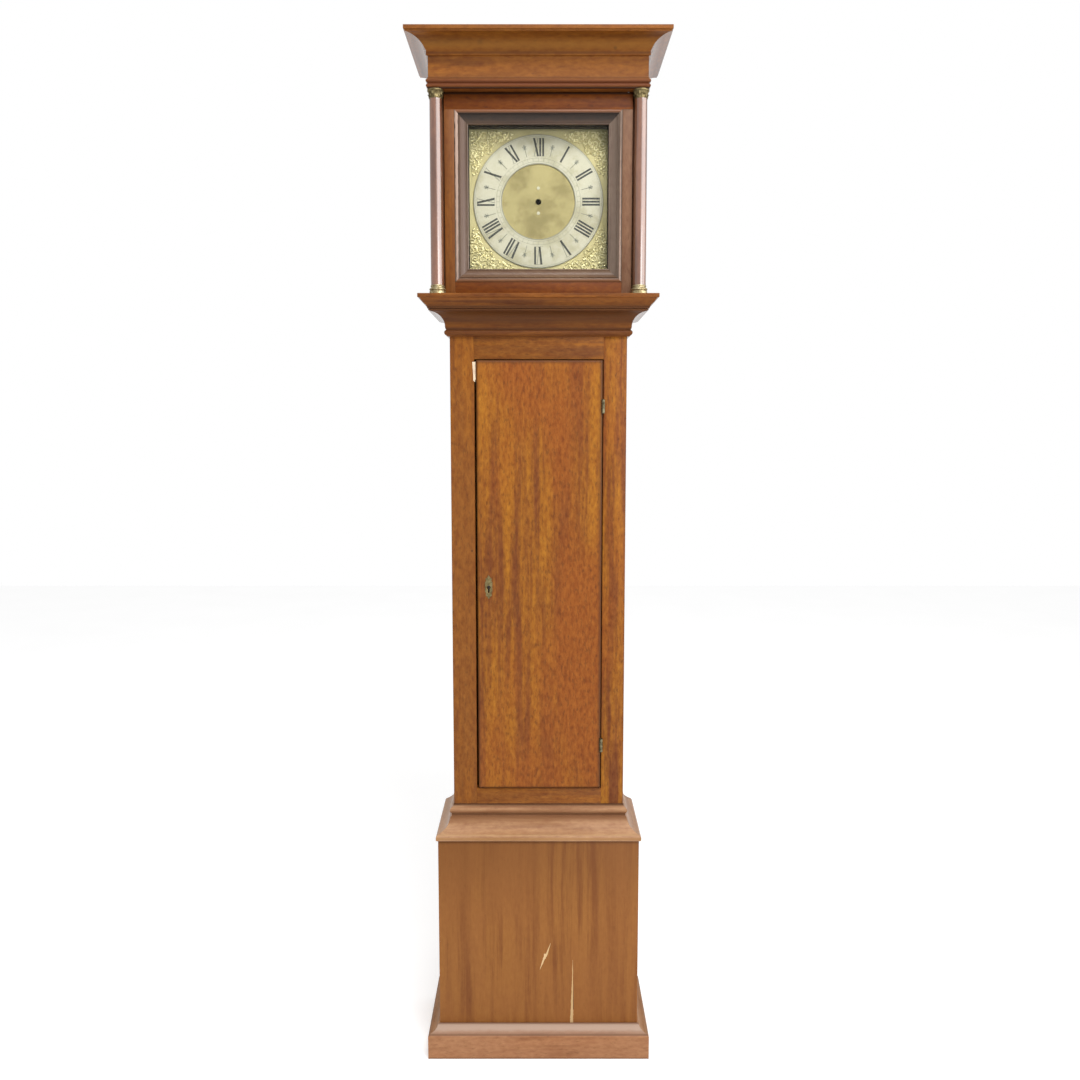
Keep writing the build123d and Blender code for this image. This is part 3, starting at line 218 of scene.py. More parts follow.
def new_group(name: str, inputs: dict[str, tuple[str, object]],
              outputs: dict[str, str]) -> tuple[NodeNet, dict, dict]:
    """Starts a shader node group.

    Args:
        name: the group's name.
        inputs: input name to its kind and its default, or None for a vector.
        outputs: output name to its kind.

    Returns:
        The group's net, its input sockets by name, and its output sockets by name.
    """
    tree = bpy.data.node_groups.new(name, "ShaderNodeTree")
    for key, (kind, value) in inputs.items():
        socket = tree.interface.new_socket(name=key, in_out="INPUT", socket_type=kind)
        if value is not None:
            socket.default_value = value
    for key, kind in outputs.items():
        tree.interface.new_socket(name=key, in_out="OUTPUT", socket_type=kind)
    net = NodeNet(tree)
    entry, leave = tree.nodes.new("NodeGroupInput"), tree.nodes.new("NodeGroupOutput")
    return net, {s.name: s for s in entry.outputs}, {s.name: s for s in leave.inputs}


class SharedEffects:
    """The shader node groups that several finishes place in their materials."""

    FLOAT = "NodeSocketFloat"
    VECTOR = "NodeSocketVector"

    def __init__(self) -> None:
        """Makes each group once."""
        self.grain = self.make_grain()
        self.patina = self.make_patina()

    def make_grain(self) -> bpy.types.NodeTree:
        """Wood grain for a board whose grain runs along its vector's Z.

        Returns:
            A group that puts out streaks, cloudy tone, fibres, small patches, dark flecks and a height.
        """
        net, given, wanted = new_group(
            "timber grain",
            {"Vector": (self.VECTOR, None), "Bands": (self.FLOAT, 60.0), "Wander": (self.FLOAT, 0.6),
             "Fleck Size": (self.FLOAT, 260.0), "Fleck Share": (self.FLOAT, 0.5)},
            {"Bands": self.FLOAT, "Cloud": self.FLOAT, "Fibre": self.FLOAT, "Patch": self.FLOAT,
             "Flecks": self.FLOAT, "Height": self.FLOAT},
        )
        vector = given["Vector"]
        cloud = net.noise(net.stretch(vector, (1.0, 1.0, 0.3)), scale=9.0, detail=3.0, roughness=0.5)
        wander = net.noise(net.stretch(vector, (1.0, 1.0, 0.05)), given["Bands"], detail=4.0,
                           roughness=given["Wander"])
        fibre = net.noise(net.stretch(vector, (1.0, 1.0, 0.05)), scale=620.0, detail=2.0, roughness=0.6)
        patch = net.noise(net.stretch(vector, (1.0, 1.0, 0.45)), scale=150.0, detail=3.0, roughness=0.6)
        mottle = net.noise(net.stretch(vector, (1.0, 1.0, 0.32)), given["Fleck Size"], detail=3.0,
                           roughness=0.62)
        low = net.maths("SUBTRACT", 0.72, net.maths("MULTIPLY", given["Fleck Share"], 0.3))
        flecks = net.maths("DIVIDE", net.maths("SUBTRACT", mottle, low), 0.16)
        flecks = net.maths("MINIMUM", net.maths("MAXIMUM", flecks, 0.0), 1.0)
        height = net.maths("SUBTRACT", net.maths("MULTIPLY", fibre, 0.7), net.maths("MULTIPLY", flecks, 0.5))
        for key, socket in (("Bands", net.between(wander, low=0.36, high=0.62)), ("Cloud", cloud),
                            ("Fibre", fibre), ("Patch", patch), ("Flecks", flecks), ("Height", height)):
            net.feed(wanted[key], socket)
        return net.tree

    def make_patina(self) -> bpy.types.NodeTree:
        """Tarnish and fine scratches on metal.

        Returns:
            A group that puts out a tarnish mask, a scratch mask and a height.
        """
        net, given, wanted = new_group(
            "metal patina",
            {"Vector": (self.VECTOR, None), "Size": (self.FLOAT, 60.0), "Grit": (self.FLOAT, 900.0)},
            {"Tarnish": self.FLOAT, "Scratches": self.FLOAT, "Height": self.FLOAT},
        )
        vector = given["Vector"]
        blotch = net.noise(vector, given["Size"], detail=5.0, roughness=0.65)
        tarnish = net.between(blotch, low=0.38, high=0.68)
        lines = net.noise(net.stretch(vector, (1.0, 0.5, 0.06), turn=(0.2, 0.5, 0.1)), scale=1500.0,
                          detail=2.0)
        grit = net.noise(vector, given["Grit"], detail=2.0)
        for key, socket in (("Tarnish", tarnish), ("Scratches", net.between(lines, low=0.55, high=0.8)),
                            ("Height", grit)):
            net.feed(wanted[key], socket)
        return net.tree


class Finish:
    """What every finish shares: a material with its net, and a Principled shader at its end."""

    name: str

    def start(self) -> tuple[bpy.types.Material, NodeNet, bpy.types.Node, Socket]:
        """Makes a bare material.

        Returns:
            The material, its net, its shader and its Object coordinates.
        """
        material = bpy.data.materials.new(self.name)
        material.use_nodes = True
        net = NodeNet(material.node_tree)
        shader = material.node_tree.nodes["Principled BSDF"]
        place = net.add("ShaderNodeTexCoord").outputs["Object"]
        return material, net, shader, place

    @staticmethod
    def relief(net: NodeNet, shader: bpy.types.Node, height: Socket, strength: float, depth: float) -> None:
        """Feeds a bump to the shader's normal, with its depth in metres."""
        bump = net.add("ShaderNodeBump", None, Height=height, Strength=strength, Distance=depth)
        net.feed(shader.inputs["Normal"], bump.outputs[0])


@dataclass(frozen=True)
class Knot:
    """A dark spot in the wood: its middle and its radius."""

    place: Point
    radius: float


@dataclass(frozen=True)
class GrimeShadeAndSheen:
    """A band about a plane: its axis, place, reach and depth, and its colour if not the flecks'. It holds
    soiling, painted shade where it darkens gaps, quirks and hollows, and painted highlights and reflections
    where its colour is paler.
    """

    axis: str
    where: float
    reach: float
    depth: float
    colour: Colour | None = None


@dataclass(frozen=True)
class ScarAndSheenLine:
    """A line from one place to another, with its width and its colour: scratches and splits, and on the hood
    door's beads painted highlights.
    """

    start: Point
    end: Point
    width: float
    colour: Colour


@dataclass(frozen=True)
class Timber(Finish):
    """A polished wood: streaks between two tones, a clouded third one, and dark flecks.

    Attributes:
        dark, middle, pale: the three tones.
        grain: which way the grain runs.
        bands, wander: how fine the streaks are, and how far they wander.
        patches: how uneven the tone is in small patches.
        rings: how strong the wide soft stripes are.
        coat, glaze: how much polish lies on the wood, and how strongly it mirrors beyond plain polish.
        flecks, fleck_size, fleck_colour, fleck_depth: the dark flecks' share, fineness, colour and strength.
        gloss: the roughness under the polish.
        shift: how far the pattern is moved, so that no two boards match.
        knots and the two lists after it: dark knots in the wood; bands about a plane of soiling, painted
            shade and painted highlights; and lines of scratches, splits and painted highlights.
    """

    name: str
    dark: Colour
    middle: Colour
    pale: Colour
    grain: Grain = Grain.ALONG_Z
    bands: float = 60.0
    wander: float = 0.6
    patches: float = 0.45
    rings: float = 0.0
    glaze: float = 0.0
    flecks: float = 0.5
    fleck_size: float = 260.0
    fleck_colour: Colour = (0.07, 0.025, 0.008)
    fleck_depth: float = 0.5
    gloss: float = 0.42
    coat: float = 0.0
    shift: Point = (0.0, 0.0, 0.0)
    knots: tuple[Knot, ...] = ()
    grime_shade_and_sheen: tuple[GrimeShadeAndSheen, ...] = ()
    scars_and_sheen_lines: tuple[ScarAndSheenLine, ...] = ()

    KNOT_HEART: ClassVar[float] = 0.25
    SPECULAR: ClassVar[float] = 0.18
    GLAZED_ROUGHNESS: ClassVar[float] = 0.12
    WAXED_ROUGHNESS: ClassVar[float] = 0.25
    COAT_IOR: ClassVar[float] = 1.5
    RELIEF: ClassVar[float] = 0.0004

    def material(self, effects: SharedEffects) -> bpy.types.Material:
        """Builds the material.

        Args:
            effects: the shared node groups.

        Returns:
            The finished material.
        """
        material, net, shader, place = self.start()
        upright = net.stretch(place, (1, 1, 1), self.shift, self.grain.value)
        grain = net.add("ShaderNodeGroup", {"node_tree": effects.grain}, Vector=upright, Bands=self.bands,
                        Wander=self.wander, Fleck_Size=self.fleck_size, Fleck_Share=self.flecks)
        out = grain.outputs
        tone = net.blend(out["Bands"], self.dark, self.middle)
        tone = net.blend(net.between(out["Cloud"], low=0.38, high=0.66), tone, self.pale)
        tone = net.blend(net.maths("MULTIPLY", out["Flecks"], self.fleck_depth), tone, self.fleck_colour)
        if self.rings:
            wide = net.between(net.noise(net.stretch(upright, (1.0, 0.5, 0.02)), scale=34.0, detail=2.0,
                                         roughness=0.4), low=0.42, high=0.62)
            tone = net.blend(net.maths("MULTIPLY", wide, self.rings), tone, self.dark)
        worn = net.maths("MULTIPLY", net.maths("SUBTRACT", out["Patch"], 0.5), self.patches * 2)
        shade = net.maths("ADD", net.maths("ADD", 0.88, worn), net.maths("MULTIPLY", out["Fibre"], 0.24))
        red = net.maths("ADD", net.maths("MULTIPLY", shade, 0.7), 0.3)
        golden = net.add("ShaderNodeCombineColor", None, Red=red, Green=shade, Blue=shade).outputs[0]
        tone = net.blend(1.0, tone, golden, "MULTIPLY")
        for knot in self.knots:
            size = knot.radius * MM
            near = net.between(net.apart(place, metres(knot.place)), size, size * self.KNOT_HEART)
            tone = net.blend(net.maths("MULTIPLY", near, 0.8), tone, self.fleck_colour)
        tone = self.add_wear_and_painted_light(net, place, out["Patch"], tone)
        net.feed(shader.inputs["Base Color"], tone)
        rough = net.maths("ADD", self.gloss, net.maths("MULTIPLY", out["Cloud"], 0.16))
        net.feed(shader.inputs["Roughness"], rough)
        shader.inputs["Specular IOR Level"].default_value = self.SPECULAR
        shader.inputs["Coat Weight"].default_value = self.coat
        coat_rough = self.GLAZED_ROUGHNESS if self.glaze else self.WAXED_ROUGHNESS
        shader.inputs["Coat Roughness"].default_value = coat_rough
        shader.inputs["Coat IOR"].default_value = self.COAT_IOR + self.glaze
        self.relief(net, shader, out["Height"], strength=0.35, depth=self.RELIEF)
        return material

    def add_wear_and_painted_light(self, net: NodeNet, place: Socket, patch: Socket, tone: Socket) -> Socket:
        """Adds the finish's bands and lines to a tone: soiling, scratches and splits, painted shade and
        painted highlights.

        Args:
            net: the material's net.
            place: Object coordinates.
            patch: the grain's small patches, which make both uneven.
            tone: the tone so far.

        Returns:
            The tone with them added.
        """
        split = net.add("ShaderNodeSeparateXYZ", None, Vector=place)
        uneven = net.maths("ADD", 0.7, net.maths("MULTIPLY", patch, 0.6))
        # Bands about a plane: soiling, painted shade in gaps, quirks and hollows, and painted highlights
        # where the band's colour is paler.
        for overlay in self.grime_shade_and_sheen:
            apart = net.maths("ABSOLUTE", net.maths("SUBTRACT", split.outputs[overlay.axis], overlay.where * MM))
            strong = net.maths("MULTIPLY", uneven, overlay.depth)
            near = net.maths("MULTIPLY", net.between(apart, low=overlay.reach * MM, high=0.0), strong)
            tone = net.blend(net.maths("MINIMUM", near, 1.0), tone, overlay.colour or self.fleck_colour)
        # Lines: scratches and splits, and painted highlights along the hood door's beads.
        for line_mark in self.scars_and_sheen_lines:
            first = Vector(line_mark.start) * MM
            way = Vector(line_mark.end) * MM - first
            away = net.add("ShaderNodeVectorMath", {"operation": "SUBTRACT"}, i0=place, i1=tuple(first))
            share = net.maths("DIVIDE", net.dot(away.outputs[0], tuple(way)), way.length_squared)
            share = net.maths("MAXIMUM", net.maths("MINIMUM", share, 1.0), 0.0)
            along = net.add("ShaderNodeVectorMath", {"operation": "SCALE"}, i0=tuple(way), Scale=share)
            apart = net.apart(away.outputs[0], along.outputs[0])
            taper = net.maths("MULTIPLY", net.maths("SUBTRACT", 1.15, share), patch)
            wide = net.maths("MULTIPLY", taper, line_mark.width * 2 * MM)
            tone = net.blend(net.maths("LESS_THAN", apart, wide), tone, line_mark.colour)
        return tone


@dataclass(frozen=True)
class Metal(Finish):
    """A metal with tarnish, fine scratches and grit.

    Attributes:
        clean, tarnished: the two tones.
        rough, metallic: the shader's roughness where it is clean, and its metallic value.
        tarnish_size: how fine the tarnish is.
        grit, grit_depth: how fine the grit is, and its depth in metres.
        scratch_share: how much the scratches roughen it.
        painted_recess_shade: (near, deep, dirt), which darkens it between two depths.
        painted shade: (near, deep, tone), which darkens it between two depths, in hollows.
    """

    name: str
    clean: Colour
    tarnished: Colour
    rough: float = 0.3
    metallic: float = 1.0
    tarnish_size: float = 60.0
    grit: float = 900.0
    grit_depth: float = 0.00005
    scratch_share: float = 0.2
    painted_recess_shade: tuple[float, float, Colour] | None = None
    rim: tuple[Point, float, float, Colour] | None = None

    def material(self, effects: SharedEffects) -> bpy.types.Material:
        """Builds the material.

        Args:
            effects: the shared node groups.

        Returns:
            The finished material.
        """
        material, net, shader, place = self.start()
        patina = net.add("ShaderNodeGroup", {"node_tree": effects.patina}, Vector=place,
                         Size=self.tarnish_size, Grit=self.grit)
        out = patina.outputs
        tone = net.blend(out["Tarnish"], self.clean, self.tarnished)
        # Painted shade: darker between two depths, in hollows.
        if self.painted_recess_shade:
            near, deep, overlay = self.painted_recess_shade
            split = net.add("ShaderNodeSeparateXYZ", None, Vector=place)
            tone = net.blend(net.between(split.outputs["Y"], near * MM, deep * MM), tone, overlay)
        if self.rim:
            spot, start, end, overlay = self.rim
            far = net.apart(place, metres(spot))
            tone = net.blend(net.between(far, start * MM, end * MM), tone, overlay)
        net.feed(shader.inputs["Base Color"], tone)
        worn = net.maths("ADD", self.rough, net.maths("MULTIPLY", out["Tarnish"], 0.22))
        rough = net.maths("ADD", worn, net.maths("MULTIPLY", out["Scratches"], self.scratch_share))
        net.feed(shader.inputs["Roughness"], rough)
        shader.inputs["Metallic"].default_value = self.metallic
        self.relief(net, shader, out["Height"], strength=0.5, depth=self.grit_depth)
        return material


@dataclass(frozen=True)
class Hemp(Finish):
    """Twisted hemp rope."""

    name: str
    dark: Colour
    pale: Colour

    def material(self, effects: SharedEffects) -> bpy.types.Material:
        """Builds the material from fibres that run round the strands.

        Args:
            effects: the shared node groups, which rope has no use for.

        Returns:
            The finished material.
        """
        material, net, shader, place = self.start()
        fibre = net.noise(net.stretch(place, (1, 1, 0.3), turn=(0.5, 0.3, 0)), scale=1800.0, detail=3.0)
        stain = net.noise(place, scale=30.0, detail=3.0)
        tone = net.blend(fibre, self.dark, self.pale)
        tone = net.blend(net.between(stain, low=0.45, high=0.75), tone, self.dark)
        net.feed(shader.inputs["Base Color"], tone)
        rough = net.maths("ADD", 0.75, net.maths("MULTIPLY", fibre, 0.2))
        net.feed(shader.inputs["Roughness"], rough)
        self.relief(net, shader, fibre, strength=0.7, depth=0.0003)
        return material


@dataclass(frozen=True)
class OldGlass(Finish):
    """Thin clear glass with a slight tint and faint waves."""

    name: str
    tint: Colour = (0.02, 0.03, 0.025)
    wave_tint: Colour = (0.04, 0.05, 0.04)
    cover: float = 0.08

    def material(self, effects: SharedEffects) -> bpy.types.Material:
        """Builds the material: a thin gloss that mostly lets the dial show through.

        Args:
            effects: the shared node groups, which glass has no use for.

        Returns:
            The finished material.
        """
        material, net, shader, place = self.start()
        waves = net.noise(net.stretch(place, (1, 1, 0.6)), scale=14.0, detail=1.0)
        net.feed(shader.inputs["Base Color"], net.blend(waves, self.tint, self.wave_tint))
        shader.inputs["Roughness"].default_value = 0.04
        shader.inputs["Alpha"].default_value = self.cover
        self.relief(net, shader, waves, strength=0.15, depth=0.002)
        return material


@dataclass(frozen=True)
class Wax(Finish):
    """The black wax in the dial's engraving, worn thin in places."""

    name: str
    black: Colour
    worn: Colour

    def material(self, effects: SharedEffects) -> bpy.types.Material:
        """Builds the material.

        Args:
            effects: the shared node groups, which wax has no use for.

        Returns:
            The finished material.
        """
        material, net, shader, place = self.start()
        wear = net.between(net.noise(place, scale=220.0, detail=4.0, roughness=0.7), low=0.5, high=0.78)
        net.feed(shader.inputs["Base Color"], net.blend(wear, self.black, self.worn))
        rough = net.maths("ADD", 0.5, net.maths("MULTIPLY", wear, 0.2))
        net.feed(shader.inputs["Roughness"], rough)
        return material


OAK = {"dark": (0.17, 0.048, 0.011), "middle": (0.35, 0.126, 0.012), "pale": (0.27, 0.076, 0.011),
       "patches": 0.85}
DARK_OAK = {"dark": (0.14, 0.042, 0.009), "middle": (0.28, 0.092, 0.01), "pale": (0.23, 0.077, 0.013),
            "patches": 0.7}
REDDER = {"dark": (0.115, 0.034, 0.007), "middle": (0.24, 0.078, 0.011), "pale": (0.18, 0.056, 0.01)}
# Paler, greyer oak for the foot's returns: the wood's tone with the white floor's reflection painted in.
PALE_WITH_PAINTED_SHEEN = {"dark": (0.25, 0.115, 0.048), "middle": (0.38, 0.195, 0.09), "pale": (0.42, 0.23, 0.115),
            "patches": 0.25, "fleck_depth": 0.3}
PINE = {"dark": (0.2, 0.066, 0.016), "middle": (0.31, 0.122, 0.028), "pale": (0.29, 0.11, 0.028)}
CORNICE = {"dark": (0.125, 0.038, 0.005), "middle": (0.25, 0.08, 0.009), "pale": (0.2, 0.066, 0.008),
           "patches": 0.65}


def trunk_timbers() -> list[Timber]:
    """The woods of the trunk, its door and the boards inside the case.

    Returns:
        The timbers.
    """
    return [
        # The trunk's right edge is darker over 5 mm; the door's four edges carry painted shade, strongest at
        # the right and top, for the shadow in the gaps round it.
        Timber("oak_upright", **OAK, flecks=0.62, grime_shade_and_sheen=(GrimeShadeAndSheen("X", 168.0, 5.0, 0.3),)),
        Timber("oak_door", **OAK, flecks=0.66, fleck_depth=0.45, shift=(0.31, 0.2, 0.7), bands=42,
               grime_shade_and_sheen=(GrimeShadeAndSheen("X", 122.5, 9.0, 0.95), GrimeShadeAndSheen("X", -118.4, 6.0, 0.55),
                      GrimeShadeAndSheen("Z", 1380.5, 10.0, 0.85), GrimeShadeAndSheen("Z", 541.5, 7.0, 0.75))),
        Timber("oak_left_stile", **DARK_OAK, flecks=0.6, fleck_depth=0.45, bands=40, shift=(0.9, 0.1, 0.3),
               knots=(Knot((-128.7, -49.5, 1015.5), 3.0),)),
        Timber("oak_across", **DARK_OAK, grain=Grain.ALONG_X, flecks=0.6, shift=(0.2, 0.4, 0.15)),
        Timber("pine_inside", dark=(0.3, 0.16, 0.06), middle=(0.42, 0.24, 0.1), pale=(0.5, 0.3, 0.14),
               bands=70, flecks=0.25, fleck_depth=0.2, gloss=0.7),
        Timber("bare_wood", dark=(0.55, 0.4, 0.24), middle=(0.74, 0.58, 0.4), pale=(0.8, 0.64, 0.46),
               flecks=0.2, fleck_depth=0.2, gloss=0.7),
    ]


def hood_timbers() -> list[Timber]:
    """The woods of the hood, its columns and the throat moulding under it.

    Returns:
        The timbers.
    """
    return [
        Timber("hood_upright", **REDDER, shift=(0.6, 0.1, 0.5)),
        # Painted shade in a dark line at the hood's foot, 1474 mm, where the sill meets the throat; a paler
        # reddish band at 1488 mm is a painted highlight on the sill's upper curve.
        Timber("hood_across", **REDDER, grain=Grain.ALONG_X, shift=(0.15, 0.7, 0.3), patches=0.6,
               grime_shade_and_sheen=(GrimeShadeAndSheen("Z", 1474.0, 7.0, 0.8), GrimeShadeAndSheen("Z", 1488.0, 4.0, 0.4, (0.3, 0.1, 0.02)))),
        Timber("hood_return", **REDDER, grain=Grain.ALONG_Y, shift=(0.45, 0.2, 0.1), coat=0.6, glaze=0.15),
        # Painted shade: a near-black line at the cornice's foot at 1863.5 mm and dark lines at 1882.5 and
        # 1925 mm; the beads about 1872 mm are darkened as soiling and painted shade; a paler band on the
        # hollow about 1937 mm is a painted highlight.
        Timber("cornice_across", **CORNICE, grain=Grain.ALONG_X, flecks=0.42, bands=50, shift=(0.3, 0.9, 0.6),
               knots=(Knot((-104.0, -95.0, 1937.0), 9.0), Knot((139.0, -88.0, 1932.0), 5.0)),
               grime_shade_and_sheen=(GrimeShadeAndSheen("Z", 1872.0, 12.0, 0.6), GrimeShadeAndSheen("Z", 1872.5, 12.0, 0.6, (0.13, 0.03, 0.01)),
                      GrimeShadeAndSheen("Z", 1863.5, 3.5, 1.8, (0.02, 0.006, 0.002)), GrimeShadeAndSheen("Z", 1882.5, 3.0, 0.5),
                      GrimeShadeAndSheen("Z", 1925.0, 4.0, 0.5), GrimeShadeAndSheen("Z", 1937.0, 11.0, 0.6, (0.33, 0.135, 0.018)))),
        Timber("cornice_return", **CORNICE, grain=Grain.ALONG_Y, flecks=0.42, bands=50, gloss=0.3, coat=1.0,
               glaze=0.5),
        # Painted shade: the hollow darkens towards its top under the hood, at 1466 mm over 30 mm, with a dark
        # line at the bead's top at 1437.5 mm.
        Timber("throat_across", **REDDER, grain=Grain.ALONG_X, flecks=0.45, shift=(0.5, 0.5, 0.9),
               grime_shade_and_sheen=(GrimeShadeAndSheen("Z", 1466.0, 30.0, 0.75), GrimeShadeAndSheen("Z", 1437.5, 4.0, 0.6))),
        Timber("throat_return", **REDDER, grain=Grain.ALONG_Y, flecks=0.45, shift=(0.25, 0.1, 0.4), coat=1.0,
               glaze=0.35),
        Timber("column_wood", dark=(0.1, 0.034, 0.014), middle=(0.2, 0.076, 0.036), pale=(0.24, 0.095, 0.046),
               bands=110, flecks=0.35, fleck_depth=0.35, gloss=0.3, coat=1.0, glaze=0.45),
        # Painted shade: darker tones, and the mask's front darkened near y -36 mm while the jambs stay brown,
        # for the shade round the dial.
        Timber("mask_dark", dark=(0.12, 0.05, 0.022), middle=(0.2, 0.09, 0.045), pale=(0.17, 0.075, 0.04),
               flecks=0.3, gloss=0.6, fleck_colour=(0.045, 0.035, 0.025),
               grime_shade_and_sheen=(GrimeShadeAndSheen("Y", -36.0, 12.0, 3.0),)),
    ]


def hood_door_timbers() -> list[Timber]:
    """The woods of the hood door and its sight moulding.

    Returns:
        The timbers.
    """
    return [
        Timber("door_stile_left", dark=(0.11, 0.034, 0.007), middle=(0.215, 0.074, 0.012),
               pale=(0.175, 0.058, 0.012), shift=(0.85, 0.3, 0.1)),
        # The right stile is painted darker, greyer and pinker than the left: painted shade and a painted
        # sheen on its face.
        Timber("door_stile_right", dark=(0.1, 0.044, 0.022), middle=(0.17, 0.082, 0.04),
               pale=(0.2, 0.1, 0.055), fleck_depth=0.4, shift=(0.35, 0.8, 0.2)),
        # Painted shadow: a near-black band along the top rail under the cornice at 1863.5 mm.
        Timber("door_rail", dark=(0.09, 0.021, 0.003), middle=(0.185, 0.048, 0.004),
               pale=(0.13, 0.032, 0.003), patches=0.7, grain=Grain.ALONG_X, shift=(0.1, 0.3, 0.7),
               fleck_colour=(0.03, 0.01, 0.004), grime_shade_and_sheen=(GrimeShadeAndSheen("Z", 1863.5, 7.0, 1.8),)),
        # The right strip is painted paler towards x 142 mm, a painted highlight, and the left darker towards
        # x -141 mm, painted shade; the two long lines on the outer beads are painted highlights.
        Timber("door_moulding", dark=(0.075, 0.044, 0.028), middle=(0.125, 0.08, 0.055),
               pale=(0.16, 0.11, 0.08), flecks=0.3, gloss=0.4, coat=0.4,
               grime_shade_and_sheen=(GrimeShadeAndSheen("X", 142.0, 14.0, 0.5, (0.2, 0.15, 0.115)), GrimeShadeAndSheen("X", -141.0, 12.0, 0.6)),
               scars_and_sheen_lines=(ScarAndSheenLine((-150.5, -66.0, 1834.0), (-151.5, -66.0, 1400.0), 2.8, (0.38, 0.26, 0.2)),
                      ScarAndSheenLine((151.5, -66.0, 1500.0), (151.5, -66.0, 1834.0), 1.5, (0.3, 0.2, 0.15)))),
        # Painted shade: the top strip darkens towards 1820 mm, its bead is painted a dull reddish brown at
        # 1831 mm in place of a highlight, with a dark quirk at 1824.5 mm; the bottom strip is painted paler
        # and redder about 1525 mm, where light falls on it.
        Timber("door_moulding_across", dark=(0.07, 0.036, 0.02), middle=(0.125, 0.066, 0.036),
               pale=(0.17, 0.1, 0.055), grain=Grain.ALONG_X, flecks=0.3, gloss=0.45, coat=0.2,
               fleck_colour=(0.03, 0.022, 0.018),
               grime_shade_and_sheen=(GrimeShadeAndSheen("Z", 1820.0, 24.0, 0.9), GrimeShadeAndSheen("Z", 1831.0, 6.0, 1.2, (0.17, 0.06, 0.02)),
                      GrimeShadeAndSheen("Z", 1824.5, 2.5, 0.9), GrimeShadeAndSheen("Z", 1525.0, 6.0, 0.9, (0.2, 0.08, 0.03)))),
    ]


def plinth_timbers() -> list[Timber]:
    """The woods of the foot: its skirting, its capping and its boards, painted paler and greyer for the white
    floor's reflection, with painted shade in their quirks.

    Returns:
        The timbers.
    """
    return [
        # The face's paler, greyer tones and the pale band about 58 mm paint in the white floor's reflection;
        # dark lines at 49.5 and 65 mm and along the floor at 0 mm are painted shade.
        Timber("skirt_across", dark=(0.24, 0.09, 0.034), middle=(0.4, 0.178, 0.078), pale=(0.4, 0.19, 0.09),
               grain=Grain.ALONG_X, patches=0.4, fleck_depth=0.3, shift=(0.4, 0.1, 0.8),
               grime_shade_and_sheen=(GrimeShadeAndSheen("Z", 58.0, 12.0, 1.3, (0.46, 0.32, 0.24)), GrimeShadeAndSheen("Z", 49.5, 2.2, 0.6),
                      GrimeShadeAndSheen("Z", 65.0, 4.0, 0.6), GrimeShadeAndSheen("Z", 0.0, 5.0, 0.5))),
        # The skirting's returns: paler with the floor's reflection painted in, and painted shade in a line at
        # 48.5 mm.
        Timber("skirt_return", **PALE_WITH_PAINTED_SHEEN, grain=Grain.ALONG_Y, grime_shade_and_sheen=(GrimeShadeAndSheen("Z", 48.5, 2.5, 0.5),)),
        # Paler, greyer tones paint in the floor's reflection; the darker slope under the bead at 486 mm and
        # dark lines at 488.5 and 508.5 mm are painted shade; the golden bands at 449 and 455.5 mm on the nose
        # are painted highlights.
        Timber("cap_across", dark=(0.29, 0.135, 0.06), middle=(0.44, 0.235, 0.115), pale=(0.48, 0.27, 0.15),
               grain=Grain.ALONG_X, patches=0.4, flecks=0.35, fleck_depth=0.3, shift=(0.7, 0.3, 0.2),
               grime_shade_and_sheen=(GrimeShadeAndSheen("Z", 486.0, 15.0, 0.85, (0.17, 0.065, 0.022)), GrimeShadeAndSheen("Z", 488.5, 3.5, 0.6),
                      GrimeShadeAndSheen("Z", 508.5, 6.5, 1.0), GrimeShadeAndSheen("Z", 449.0, 4.5, 0.7, (0.4, 0.2, 0.07)),
                      GrimeShadeAndSheen("Z", 455.5, 2.0, 0.4, (0.5, 0.31, 0.14)))),
        Timber("cap_return", **PALE_WITH_PAINTED_SHEEN, grain=Grain.ALONG_Y, flecks=0.4, coat=0.4, glaze=0.1),
        # Darker towards the top at 444 mm, fading over 190 mm, and paler low down: a painted gradient for the
        # floor's reflection, with painted shade in a band right under the capping.
        Timber("plinth_pine", **PINE, rings=0.22, flecks=0.3, fleck_depth=0.2, fleck_size=180,
               patches=0.22, shift=(0.2, 0.6, 0.35),
               grime_shade_and_sheen=(GrimeShadeAndSheen("Z", 444.0, 190.0, 0.3), GrimeShadeAndSheen("Z", 444.0, 8.0, 0.5)),
               scars_and_sheen_lines=(ScarAndSheenLine((15.0, -79.5, 205.0), (24.0, -79.5, 231.0), 1.9, (0.66, 0.45, 0.22)),
                      ScarAndSheenLine((14.0, -79.5, 207.0), (3.0, -79.5, 177.0), 2.5, (0.72, 0.5, 0.26)),
                      ScarAndSheenLine((67.0, -79.5, 60.0), (68.5, -79.5, 196.0), 2.7, (0.58, 0.37, 0.17)),
                      ScarAndSheenLine((66.0, -79.5, 60.0), (68.0, -79.5, 122.0), 2.3, (0.6, 0.4, 0.2)),
                      ScarAndSheenLine((70.2, -79.5, 92.0), (69.4, -79.5, 150.0), 0.5, (0.04, 0.015, 0.005)))),
        Timber("plinth_side", **PINE, rings=0.3, flecks=0.4, fleck_depth=0.3, shift=(0.6, 0.2, 0.1)),
    ]


